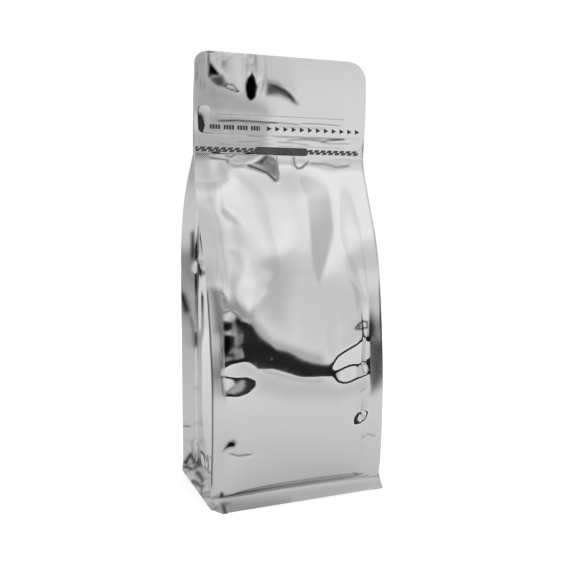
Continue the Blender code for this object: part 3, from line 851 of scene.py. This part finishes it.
def painted_front_shade(x, z):
    """Painted shade on the front: at the left seal's cut edge, in the crevice over the bottom seal, and in
    its creases.
    """
    # A dark strip painted along the left seal's cut edge stands in for the shade of the gap behind it.
    gap_shade = smooth((-54.0 - x) / 0.6) * smooth((132 - z) / 10) * smooth((z - 11) / 6)
    # Painted shade: a dark line in the crevice over the bottom seal, and dark blots and a streak at its
    # left end.
    nearest, travelled, length = along_line(
        x, z, ((-47.6, 6.4), (-42, 7.2), (-36, 8.0), (-20, 8.6), (0, 8.8), (20, 8.6), (40, 8.2))
    )
    thick = np.interp(travelled, (0, 8, 30, length), (0.35, 0.6, 0.4, 0.25))
    crevice_shade = np.exp(-((nearest / thick) ** 2)) * (1 - 0.55 * travelled / length)
    knot = inside(x, z, ((-49.6, 6.2), (-49.6, 9.6), (-48.0, 9.8), (-47.2, 8.4), (-47.2, 6.2)), 0.25)
    under = inside(x, z, ((-49.8, -1.0), (-49.6, 3.6), (-48.2, 3.8), (-47.2, 2.4), (-47.4, -1.0)), 0.25)
    nearest, travelled, length = along_line(x, z, ((-48.0, 3.2), (-40.5, 3.1)))
    streak_shade = 0.8 * np.exp(-((nearest / 0.8) ** 2)) * (1 - travelled / length)
    # Lines and patches of painted shade and dark reflections in the creases and folds.
    creased = marked(x, z, FRONT_LINES, FRONT_SHADES)
    return np.maximum.reduce([gap_shade, crevice_shade, 0.95 * knot, 0.85 * under, streak_shade, creased])


def shell_sections(film):
    """The rings of the pouch, from the middle of the base up: points, seal weights and painted shade."""
    front_x = panel_columns(FRONT_STEPS, SEAL_STEPS)
    back_x = panel_columns(BACK_STEPS, FIN_STEPS)[::-1]
    sections, seals, painted_shades = [], [], []
    for z in rows():
        x = front_x * reach(z, front_x) / HALF
        # The knurl shows low on the corner seals, and higher up on the left one, and fades above.
        knurl = 0.25 + 0.75 * smooth((np.where(front_x < 0, 130, 104) - z) / 12)
        level = np.full_like(x, z)
        front = (x, film.y(x, level), (np.abs(front_x) > ROOT - 0.3) * knurl, painted_front_shade(x, level))
        x = back_x * reach(z, back_x) / HALF
        behind = back_film(x, np.full_like(x, z))
        back = (x, behind, (np.abs(back_x) > ROOT - 0.3) * 2.0, np.zeros(len(x)))
        right, left = side_ring(film, z, 1), side_ring(film, z, -1)
        parts = (front, right, back, tuple(part[::-1] for part in left))
        ring_x, ring_y, flags, dark = (np.concatenate([part[i] for part in parts]) for i in range(4))
        sections.append(np.stack([ring_x, ring_y, np.full_like(ring_x, z)], axis=1))
        seals.append(flags if z > CREASE else np.ones(len(ring_x)))
        painted_shades.append(dark)
    outer = sections[0]
    base = []
    # The base from its middle out: how far each ring is drawn in, and its height.
    for inset_x, inset_y, z in ((17.0, 14.0, 0.3), (13.0, 11.0, 0.9), (10.0, 8.6, 4.8), (0.7, 0.7, 0.0)):
        ring = outer * np.array([(HALF - inset_x) / HALF, (GROUND_DEPTH - inset_y) / GROUND_DEPTH, 1.0])
        ring[:, 2] = z
        base.append(ring)
    seals = [np.ones(len(outer))] * len(base) + seals
    painted_shades = [np.zeros(len(outer))] * len(base) + painted_shades
    # The weight named edge carries the painted shade to the film's material.
    return np.stack(base + sections), {"seal": np.stack(seals), "edge": np.stack(painted_shades)}


def srgb(code):
    """A hex colour as shown on a screen, turned to the linear values that a shader takes."""
    parts = [int(code[i : i + 2], 16) / 255 for i in (1, 3, 5)]
    return tuple(p / 12.92 if p <= 0.04045 else ((p + 0.055) / 1.055) ** 2.4 for p in parts)


# Dark colour for painted shade and painted dark reflections: at the left seal's cut edge, in crevices and
# in creases.
PAINTED_SHADE_COLOUR = (*srgb("#262527"), 1.0)


def add_node(tree, kind, inputs=None, **settings):
    """Adds a node, gives it its settings, and sets or links its inputs."""
    node = tree.nodes.new(kind)
    for name, value in settings.items():
        setattr(node, name, value)
    for name, value in (inputs or {}).items():
        socket = node.inputs[name]
        if isinstance(value, bpy.types.NodeSocket):
            tree.links.new(value, socket)
        else:
            socket.default_value = value
    return node


def maths(tree, operation, *values):
    return add_node(tree, "ShaderNodeMath", dict(enumerate(values)), operation=operation).outputs[0]


def between(tree, value, low, high, soft=0.05):
    """1 where a value in millimetres lies between two others, with edges a little soft."""
    rise = add_node(
        tree, "ShaderNodeMapRange", {0: value, 1: low - soft, 2: low + soft, 3: 0.0, 4: 1.0}
    ).outputs[0]
    fall = add_node(
        tree, "ShaderNodeMapRange", {0: value, 1: high - soft, 2: high + soft, 3: 1.0, 4: 0.0}
    ).outputs[0]
    return maths(tree, "MULTIPLY", rise, fall)


def new_material(name):
    material = bpy.data.materials.new(name)
    material.use_nodes = True
    tree = material.node_tree
    return material, tree, tree.nodes["Principled BSDF"]


def place_in_mm(tree):
    """The x, y and z of a point on the object, in millimetres."""
    where = add_node(tree, "ShaderNodeTexCoord").outputs["Object"]
    scaled = add_node(tree, "ShaderNodeVectorMath", {0: where, 3: 1000.0}, operation="SCALE").outputs[0]
    parts = add_node(tree, "ShaderNodeSeparateXYZ", {0: scaled}).outputs
    return scaled, parts[0], parts[1], parts[2]


def film_surface(tree, shader, place, ink):
    """Metallised polyester: a mirror of aluminium under clear film, a little hazy; returns roughness."""
    settings = bpy.context.scene.pouch_finish
    haze = add_node(tree, "ShaderNodeTexNoise", {"Vector": place, "Scale": 0.05, "Detail": 3.0}).outputs[0]
    base = settings.roughness
    rough = add_node(
        tree, "ShaderNodeMapRange", {0: haze, 1: 0.3, 2: 0.7, 3: base * 0.75, 4: base * 1.3}
    ).outputs[0]
    metal = maths(tree, "SUBTRACT", 1.0, ink)
    tree.links.new(metal, shader.inputs["Metallic"])
    return maths(tree, "ADD", rough, maths(tree, "MULTIPLY", ink, 0.25))


def mix_colour(tree, share, first, second):
    node = add_node(tree, "ShaderNodeMix", {0: share, 6: first, 7: second}, data_type="RGBA")
    return node.outputs[2]


def arrowheads(tree, x, z):
    """Twelve small solid arrowheads in a row, 5.37 mm apart."""
    pitch, first, height = 5.37, -8.8, 221.3
    tip, narrowing_rate = 1.75, 0.50
    start = maths(tree, "SUBTRACT", x, first - pitch / 2)
    local = maths(tree, "SUBTRACT", maths(tree, "MODULO", start, pitch), pitch / 2)
    off_line = maths(tree, "ABSOLUTE", maths(tree, "SUBTRACT", z, height))
    narrowing = maths(tree, "MULTIPLY", maths(tree, "SUBTRACT", tip, local), narrowing_rate)
    within = maths(tree, "SUBTRACT", narrowing, off_line)
    shape = add_node(tree, "ShaderNodeMapRange", {0: within, 1: -0.05, 2: 0.05, 3: 0.0, 4: 1.0}).outputs[0]
    blunt = between(tree, local, -1.4, tip)
    run = between(tree, x, first - pitch / 2, first + 11.5 * pitch)
    return maths(tree, "MULTIPLY", maths(tree, "MULTIPLY", shape, blunt), run)


def bars(tree, x, z):
    """A plain row of short upright bars where the film carries printing."""
    pitch, group = 1.7, 8.5
    along = maths(tree, "ADD", x, 46.0)
    bar = between(tree, maths(tree, "MODULO", along, pitch), 0.15, 1.45)
    row = maths(tree, "MULTIPLY", bar, between(tree, z, 219.9, 222.6))
    gap = between(tree, maths(tree, "MODULO", along, group), 0.2, 6.9)
    return maths(tree, "MULTIPLY", maths(tree, "MULTIPLY", row, gap), between(tree, x, -45.8, -14.6))


def chain(tree, x, z):
    """Two rows of slanted bars, half a step apart like a twisted cord, with a rounded bar amid them."""
    total = None
    pitch = 4.3
    for centre, shift in ((208.65, 0.0), (207.35, pitch / 2)):
        slanted = maths(tree, "SUBTRACT", x, maths(tree, "MULTIPLY", z, 0.8))
        local = maths(tree, "MODULO", maths(tree, "ADD", slanted, 100 * pitch + shift), pitch)
        row = maths(
            tree,
            "MULTIPLY",
            between(tree, local, 0.3, 3.5, 0.15),
            between(tree, z, centre - 0.85, centre + 0.85, 0.15),
        )
        total = row if total is None else maths(tree, "MAXIMUM", total, row)
    total = maths(tree, "MULTIPLY", total, between(tree, x, -54.6, 51.4))
    from_middle = maths(tree, "ABSOLUTE", maths(tree, "ADD", x, 0.6))
    beyond = maths(tree, "MAXIMUM", maths(tree, "SUBTRACT", from_middle, 15.2), 0.0)
    height = maths(tree, "SUBTRACT", z, 207.9)
    squares = [maths(tree, "POWER", part, 2.0) for part in (beyond, height)]
    away = maths(tree, "SQRT", maths(tree, "ADD", *squares))
    pill = add_node(tree, "ShaderNodeMapRange", {0: away, 1: 2.35, 2: 2.5, 3: 1.0, 4: 0.0}).outputs[0]
    return maths(tree, "MAXIMUM", total, pill)


def add_relief(tree, shader, relief):
    bumped = add_node(tree, "ShaderNodeBump", {"Strength": 1.0, "Distance": MM, "Height": relief})
    tree.links.new(bumped.outputs[0], shader.inputs["Normal"])


def make_film_material():
    """Metallised PET laminate: vacuum-coated and glossy, knurled by the hot jaws along its seals."""
    material, tree, shader = new_material("metallised_pet_film")
    finish = bpy.context.scene.pouch_finish
    place, x, y, z = place_in_mm(tree)
    seal = add_node(tree, "ShaderNodeAttribute", attribute_name="seal").outputs["Fac"]
    foot = between(tree, z, -5.0, 8.0, 0.4)
    front = add_node(tree, "ShaderNodeMapRange", {0: y, 1: -0.3, 2: 0.1, 3: 1.0, 4: 0.0}).outputs[0]
    ink = maths(tree, "MULTIPLY", chain(tree, x, z), front)
    rough = film_surface(tree, shader, place, ink)
    rough = maths(tree, "ADD", rough, maths(tree, "MULTIPLY", maths(tree, "POWER", seal, 2.0), 0.06))
    rough = maths(tree, "ADD", rough, maths(tree, "MULTIPLY", foot, 0.12))
    tree.links.new(rough, shader.inputs["Roughness"])
    # The bottom seal has four layers pressed together, which greys it.
    seal_grey_and_painted_shade = mix_colour(tree, foot, (*finish.film_colour, 1.0), (*srgb("#CFCFD1"), 1.0))
    mottle = add_node(tree, "ShaderNodeTexNoise", {"Vector": place, "Scale": 0.6, "Detail": 2.0}).outputs[0]
    ink_tone = mix_colour(tree, mottle, (*finish.ink_colour, 1.0), (*srgb("#4A494C"), 1.0))
    # Painted shade: the film darkens toward a dull colour at the left seal's cut edge, over the bottom seal
    # and in creases.
    edge = add_node(tree, "ShaderNodeAttribute", attribute_name="edge").outputs["Fac"]
    seal_grey_and_painted_shade = mix_colour(tree, edge, seal_grey_and_painted_shade, PAINTED_SHADE_COLOUR)
    tree.links.new(mix_colour(tree, ink, seal_grey_and_painted_shade, ink_tone), shader.inputs["Base Color"])
    # The jaws leave a fine knurl; its real pitch of under 1 mm is drawn at 1.3 mm so that it shows.
    pitch = 2 * math.pi / 1.3
    waves = maths(
        tree,
        "MULTIPLY",
        maths(tree, "SINE", maths(tree, "MULTIPLY", x, pitch)),
        maths(tree, "SINE", maths(tree, "MULTIPLY", z, pitch)),
    )
    deep = maths(tree, "SUBTRACT", 1.15, maths(tree, "ABSOLUTE", maths(tree, "SUBTRACT", seal, 1.0)))
    height = maths(tree, "MULTIPLY", maths(tree, "SUBTRACT", deep, 0.15), 0.020)
    knurl = maths(tree, "MULTIPLY", waves, height)
    peel = add_node(tree, "ShaderNodeTexNoise", {"Vector": place, "Scale": 0.30, "Detail": 2.0}).outputs[0]
    add_relief(tree, shader, maths(tree, "ADD", knurl, maths(tree, "MULTIPLY", peel, 0.010)))
    return material


def make_strip_material():
    """The same film, with the print that lies on the strip and its tab."""
    material, tree, shader = new_material("printed_pet_film")
    finish = bpy.context.scene.pouch_finish
    place, x, y, z = place_in_mm(tree)
    ink = maths(tree, "MAXIMUM", arrowheads(tree, x, z), bars(tree, x, z))
    off_line = maths(tree, "ABSOLUTE", maths(tree, "SUBTRACT", z, 221.9))
    slanting = maths(tree, "ADD", x, maths(tree, "MULTIPLY", off_line, 0.30))
    block = maths(tree, "MULTIPLY", between(tree, slanting, -60.0, -48.7), between(tree, z, 217.2, 225.2))
    ink = maths(tree, "MAXIMUM", ink, block)
    # A thin line runs round the tab's edge.
    edge = add_node(tree, "ShaderNodeAttribute", attribute_name="edge").outputs["Fac"]
    line = add_node(tree, "ShaderNodeMapRange", {0: edge, 1: 0.35, 2: 0.7, 3: 0.0, 4: 0.75}).outputs[0]
    ink = maths(tree, "MAXIMUM", ink, line)
    tree.links.new(film_surface(tree, shader, place, ink), shader.inputs["Roughness"])
    # Painted shade and dark reflections along the strip's creases darken its colour.
    painted_shade = add_node(tree, "ShaderNodeAttribute", attribute_name="painted_shade").outputs["Fac"]
    creased = mix_colour(tree, painted_shade, (*finish.film_colour, 1.0), PAINTED_SHADE_COLOUR)
    inked = mix_colour(tree, ink, creased, (*finish.ink_colour, 1.0))
    tree.links.new(inked, shader.inputs["Base Color"])
    peel = add_node(tree, "ShaderNodeTexNoise", {"Vector": place, "Scale": 0.30, "Detail": 2.0}).outputs[0]
    add_relief(tree, shader, maths(tree, "MULTIPLY", peel, 0.010))
    return material


def deselect():
    if bpy.context.mode != "OBJECT":
        bpy.ops.object.mode_set(mode="OBJECT")
    bpy.ops.object.select_all(action="DESELECT")


def grid_sheet(name, columns, row_count):
    """A flat sheet of so many faces each way; returns it with each corner's column and row."""
    deselect()
    bpy.ops.mesh.primitive_grid_add(x_subdivisions=columns, y_subdivisions=row_count, size=1.0)
    sheet = bpy.context.object
    sheet.name = name
    sheet.data.name = name
    count = len(sheet.data.vertices)
    flat = np.empty(count * 3)
    sheet.data.vertices.foreach_get("co", flat)
    flat = flat.reshape(-1, 3)
    column = np.rint((flat[:, 0] + 0.5) * columns).astype(int)
    row = np.rint((flat[:, 1] + 0.5) * row_count).astype(int)
    return sheet, column, row


def put_points(sheet, points):
    sheet.data.vertices.foreach_set("co", (points * MM).astype(np.float32).ravel())
    sheet.data.update()


def finish_piece(piece, node, material):
    piece.data.materials.clear()
    piece.data.materials.append(material)
    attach(piece, "root")
    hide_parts(node)


class PouchFinish(bpy.types.PropertyGroup):
    film_colour: FloatVectorProperty(
        name="Film",
        description="Colour that the metallised film gives to what it mirrors",
        subtype="COLOR",
        min=0.0,
        max=1.0,
        default=srgb("#EDEDEE"),
    )
    ink_colour: FloatVectorProperty(
        name="Ink",
        description="Colour of the small print",
        subtype="COLOR",
        min=0.0,
        max=1.0,
        default=srgb("#1E1D1F"),
    )
    roughness: FloatProperty(
        name="Haze",
        description="Roughness of the film away from its seals",
        default=0.08,
        min=0.0,
        max=1.0,
        subtype="FACTOR",
    )
    strip_thickness: FloatProperty(
        name="Strip thickness",
        description="Thickness of the tear strip's film as modelled",
        default=0.2 * MM,
        min=0.05 * MM,
        unit="LENGTH",
    )
    strip_gap: FloatProperty(
        name="Strip gap",
        description="How far the tear strip stands off the header",
        default=0.25 * MM,
        min=0.0,
        unit="LENGTH",
    )


class PouchStage(bpy.types.PropertyGroup):
    floor_radius: FloatProperty(
        name="Table radius",
        description="Radius of the pale round table",
        default=0.62,
        unit="LENGTH",
    )
    lens: FloatProperty(
        name="Lens",
        description="Focal length of the camera on a 36 mm wide sensor",
        default=48.54,
        unit="CAMERA",
    )
    floor_faces: IntProperty(
        name="Table sides",
        description="Number of sides of the round table",
        default=128,
        min=16,
    )


class POUCH_OT_shell(bpy.types.Operator):
    """Wrap one sheet of film into the filled pouch, with its seals, and close it"""

    bl_idname = "pouch.shell"
    bl_label = "Pouch of film"

    def execute(self, context):
        sections, weights = shell_sections(FrontFilm())
        row_count, ring_count = sections.shape[:2]
        sheet, column, row = grid_sheet("pouch_film", ring_count, row_count - 1)
        points = sections[row, column % ring_count]
        put_points(sheet, points)
        for name, values in weights.items():
            weight = sheet.data.attributes.new(name, "FLOAT", "POINT")
            weight.data.foreach_set("value", values[row, column % ring_count].astype(np.float32))
        bpy.ops.object.mode_set(mode="EDIT")
        bpy.ops.mesh.select_all(action="SELECT")
        bpy.ops.mesh.remove_doubles(threshold=0.002 * MM)
        bpy.ops.mesh.select_all(action="DESELECT")
        bpy.ops.mesh.select_mode(type="VERT")
        # The rims left open, in the base's middle and along the top edge, are picked and closed.
        bpy.ops.mesh.select_non_manifold(
            extend=False, use_wire=False, use_multi_face=False, use_non_contiguous=False
        )
        bpy.ops.mesh.edge_face_add()
        bpy.ops.mesh.select_all(action="SELECT")
        bpy.ops.mesh.normals_make_consistent(inside=False)
        bpy.ops.object.mode_set(mode="OBJECT")
        bpy.ops.object.shade_smooth_by_angle(angle=math.radians(38))
        finish_piece(sheet, "bag", make_film_material())
        return {"FINISHED"}


class POUCH_OT_tear_strip(bpy.types.Operator):
    """Lay the tear strip with its pull tab along the front of the header"""

    bl_idname = "pouch.tear_strip"
    bl_label = "Tear strip"

    # The tab's left and right edges, its top and the radius of its corners.
    TAB = (-52.7, -44.7, 233.7, 3.2)
    # The strip's lower and upper edges and its right end.
    STRIP = (217.4, 228.2, 52.0)

    def top(self, x):
        left, right, high, radius = self.TAB
        inner = np.clip(np.maximum(left + radius - x, x - (right - radius)), 0, radius)
        tab = high - radius + np.sqrt(radius**2 - inner**2)
        return np.where(x <= right, tab, self.STRIP[1])

    def bottom(self, x):
        left, right, high, radius = self.TAB
        inner = np.clip(left + radius - x, 0, radius)
        return self.STRIP[0] + radius - np.sqrt(radius**2 - inner**2)

    def execute(self, context):
        finish = context.scene.pouch_finish
        left, right, high, radius = self.TAB
        tab = left + (right - left) * (1 - np.cos(np.pi * spread(28))) / 2
        strip = right + 0.05 + (self.STRIP[2] - right - 0.05) * spread(118)
        xs = np.concatenate([tab, strip])
        across_count = 22
        sheet, column, row = grid_sheet("tear_strip_film", len(xs) - 1, across_count)
        x = xs[column]
        low, up = self.bottom(x), self.top(x)
        z = low + (up - low) * row / across_count
        film = FrontFilm()
        y = film.y(x, z) - finish.strip_gap / MM
        lift = 0.7 * smooth((-46.0 - x) / 6) * smooth((z - 219) / 12)
        put_points(sheet, np.stack([x, y - lift, z], axis=1))
        rim = ((row == 0) | (row == across_count) | (column == 0)) & (x < right + 0.6)
        weight = sheet.data.attributes.new("edge", "FLOAT", "POINT")
        weight.data.foreach_set("value", rim.astype(np.float32))
        # Painted shade and dark reflections in lines and patches over the strip.
        painted_shade = np.zeros(len(x))
        for step in range(across_count + 1):
            picked = row == step
            painted_shade[picked] = marked(x[picked], z[picked], STRIP_LINES, STRIP_SHADES)
        weight = sheet.data.attributes.new("painted_shade", "FLOAT", "POINT")
        weight.data.foreach_set("value", painted_shade.astype(np.float32))
        thick = sheet.modifiers.new("thickness", "SOLIDIFY")
        thick.thickness = finish.strip_thickness
        thick.offset = 1.0
        bpy.ops.object.modifier_apply(modifier=thick.name)
        bpy.ops.object.mode_set(mode="EDIT")
        bpy.ops.mesh.select_all(action="SELECT")
        bpy.ops.mesh.normals_make_consistent(inside=False)
        bpy.ops.object.mode_set(mode="OBJECT")
        bpy.ops.object.shade_smooth_by_angle(angle=math.radians(38))
        finish_piece(sheet, "tear_strip", make_strip_material())
        return {"FINISHED"}


class POUCH_OT_stage(bpy.types.Operator):
    """Set the pale table, the soft studio light and the camera"""

    bl_idname = "pouch.stage"
    bl_label = "Table, light and camera"

    # How bright the studio is at each elevation in degrees: dark at the horizon, with soft boxes above it.
    GLOW = (
        (-90, 0.02), (2.4, 0.02), (3.2, 0.14), (4.2, 0.46), (5.4, 0.84), (7, 1.05), (12, 1.03), (16, 0.86),
        (22, 0.86), (28, 0.93), (33, 1.20), (38, 1.26), (60, 1.0), (90, 0.9),
    )
    # How bright it is all round, in degrees from the front: soft boxes, with the widest gap on the left.
    AROUND = (
        (-180, 0.85), (-166, 0.85), (-148, 0.9), (-146, 0.3), (-140, 0.3), (-137, 0.75), (-112, 0.8),
        (-108, 0.1), (-86, 0.1), (-80, 0.72), (-50, 0.82), (-30, 0.99), (-6, 1.0), (3, 0.90), (13, 0.87),
        (19, 1.0), (46, 1.02), (54, 0.84), (86, 0.76), (108, 0.72), (112, 0.8), (140, 0.8), (144, 0.45),
        (149, 0.45), (153, 0.85), (180, 0.85),
    )
    # Where bright windows reach down to the table, behind the pouch and at both sides.
    WINDOW = (
        (-180, 1.0), (-149, 1.0), (-147, 0.0), (-137, 0.0), (-134, 0.7), (-98, 0.7), (-92, 0.0), (106, 0.0),
        (112, 0.7), (150, 0.7), (156, 1.0), (180, 1.0),
    )
    # How bright the windows are, and what all that the film mirrors is scaled by.
    WINDOW_GLOW = 0.98
    GAIN = 0.74
    # The even light on everything matt, and the backdrop that the camera sees.
    EVEN_GLOW = 1.25
    BACKDROP = 1.02

    def execute(self, context):
        stage = context.scene.pouch_stage
        self.add_table(stage)
        self.add_world(context)
        self.add_camera(context, stage)
        return {"FINISHED"}

    def add_table(self, stage):
        deselect()
        bpy.ops.mesh.primitive_circle_add(
            vertices=stage.floor_faces, radius=stage.floor_radius, fill_type="NGON", location=(0, 0, 0)
        )
        table = bpy.context.object
        table.name = "table"
        # Matt white board: pale, even and without gloss.
        material, tree, shader = new_material("matt_white_board")
        grain = add_node(tree, "ShaderNodeTexNoise", {"Scale": 40.0}).outputs[0]
        tone = mix_colour(tree, grain, (*srgb("#F0F0F0"), 1.0), (*srgb("#F4F4F4"), 1.0))
        # The board is painted a good third darker where the film mirrors it, with a painted shadow darkest
        # by the pouch.
        mirrored = add_node(tree, "ShaderNodeLightPath").outputs["Is Glossy Ray"]
        where = add_node(tree, "ShaderNodeTexCoord").outputs["Object"]
        away = add_node(tree, "ShaderNodeVectorMath", {0: where}, operation="LENGTH").outputs["Value"]
        outside_painted_shadow = add_node(tree, "ShaderNodeMapRange", {0: away, 1: 0.08, 2: 0.5, 3: 0.0, 4: 1.0}).outputs[0]
        board = mix_colour(tree, outside_painted_shadow, (*srgb("#999999"), 1.0), (*srgb("#B4B4B4"), 1.0))
        tone = mix_colour(tree, mirrored, tone, board)
        shader.inputs["Emission Color"].default_value = (1.0, 1.0, 1.0, 1.0)
        shader.inputs["Emission Strength"].default_value = 0.25
        tree.links.new(tone, shader.inputs["Base Color"])
        shader.inputs["Roughness"].default_value = 0.9
        shader.inputs["Specular IOR Level"].default_value = 0.0
        table.data.materials.append(material)

    def add_world(self, context):
        world = bpy.data.worlds.new("studio")
        context.scene.world = world
        world.use_nodes = True
        tree = world.node_tree
        background = tree.nodes["Background"]
        way = add_node(tree, "ShaderNodeTexCoord").outputs["Generated"]
        parts = add_node(tree, "ShaderNodeSeparateXYZ", {0: way}).outputs
        rise = maths(tree, "ADD", maths(tree, "DIVIDE", maths(tree, "ARCSINE", parts[2]), math.pi), 0.5)
        elevation_glow = self.ramp(tree, rise, [(angle / 180 + 0.5, level) for angle, level in self.GLOW])
        turn = maths(tree, "ARCTAN2", parts[0], maths(tree, "MULTIPLY", parts[1], -1.0))
        round_about = maths(tree, "ADD", maths(tree, "DIVIDE", turn, 2 * math.pi), 0.5)
        shade = self.ramp(tree, round_about, [(angle / 360 + 0.5, level) for angle, level in self.AROUND])
        window = self.ramp(tree, round_about, [(angle / 360 + 0.5, level) for angle, level in self.WINDOW])
        glow = maths(tree, "MULTIPLY", elevation_glow, shade)
        glow = add_node(tree, "ShaderNodeMix", {0: window, 2: glow, 3: self.WINDOW_GLOW}).outputs[0]
        glow = maths(tree, "MULTIPLY", glow, self.GAIN)
        rays = add_node(tree, "ShaderNodeLightPath").outputs
        even = add_node(
            tree, "ShaderNodeMix", {0: rays["Is Diffuse Ray"], 2: glow, 3: self.EVEN_GLOW}
        ).outputs[0]
        seen = add_node(
            tree, "ShaderNodeMix", {0: rays["Is Camera Ray"], 2: even, 3: self.BACKDROP}
        ).outputs[0]
        tree.links.new(seen, background.inputs["Strength"])
        background.inputs["Color"].default_value = (1.0, 1.0, 1.0, 1.0)
        world.cycles.sampling_method = "NONE"
        context.scene.view_settings.view_transform = "Standard"
        context.scene.view_settings.look = "None"

    def ramp(self, tree, value, levels):
        """A level that follows a value from 0 to 1 through the given stops."""
        node = add_node(tree, "ShaderNodeValToRGB", {0: value})
        stops = node.color_ramp.elements
        most = max(level for place, level in levels)
        while len(stops) > 1:
            stops.remove(stops[-1])
        for index, (place, level) in enumerate(levels):
            stop = stops[0] if index == 0 else stops.new(place)
            stop.position = place
            stop.color = (level / most, level / most, level / most, 1.0)
        grey = add_node(tree, "ShaderNodeSeparateColor", {0: node.outputs[0]}).outputs[0]
        return maths(tree, "MULTIPLY", grey, most)

    def add_camera(self, context, stage):
        data = bpy.data.cameras.new("camera")
        camera = bpy.data.objects.new("camera", data)
        context.scene.collection.objects.link(camera)
        data.lens = stage.lens
        data.sensor_width = 36.0
        data.clip_start = 0.01
        yaw, pitch, roll = (math.radians(a) for a in (21.03, 6.36, 0.38))
        turn = (
            Matrix.Rotation(-yaw, 3, "Z")
            @ Matrix.Rotation(math.pi / 2 - pitch, 3, "X")
            @ Matrix.Rotation(roll, 3, "Z")
        )
        camera.matrix_world = Matrix.Translation([v * MM for v in VIEWPOINT]) @ turn.to_4x4()
        context.scene.camera = camera


class POUCH_PT_panel(bpy.types.Panel):
    bl_label = "Flat-bottom pouch"
    bl_idname = "POUCH_PT_panel"
    bl_space_type = "VIEW_3D"
    bl_region_type = "UI"
    bl_category = "Pouch"

    def draw(self, context):
        finish = context.scene.pouch_finish
        stage = context.scene.pouch_stage
        for name in ("film_colour", "ink_colour", "roughness", "strip_thickness", "strip_gap"):
            self.layout.prop(finish, name)
        for name in ("floor_radius", "floor_faces", "lens"):
            self.layout.prop(stage, name)
        for made in (POUCH_OT_shell, POUCH_OT_tear_strip, POUCH_OT_stage):
            self.layout.operator(made.bl_idname)


CLASSES = (PouchFinish, PouchStage, POUCH_OT_shell, POUCH_OT_tear_strip, POUCH_OT_stage, POUCH_PT_panel)


def register():
    for made in CLASSES:
        bpy.utils.register_class(made)
    bpy.types.Scene.pouch_finish = PointerProperty(type=PouchFinish)
    bpy.types.Scene.pouch_stage = PointerProperty(type=PouchStage)


def unregister():
    del bpy.types.Scene.pouch_finish
    del bpy.types.Scene.pouch_stage
    for made in reversed(CLASSES):
        bpy.utils.unregister_class(made)


def main():
    register()
    bpy.ops.pouch.shell()
    bpy.ops.pouch.tear_strip()
    bpy.ops.pouch.stage()


if __name__ == "__main__":
    main()
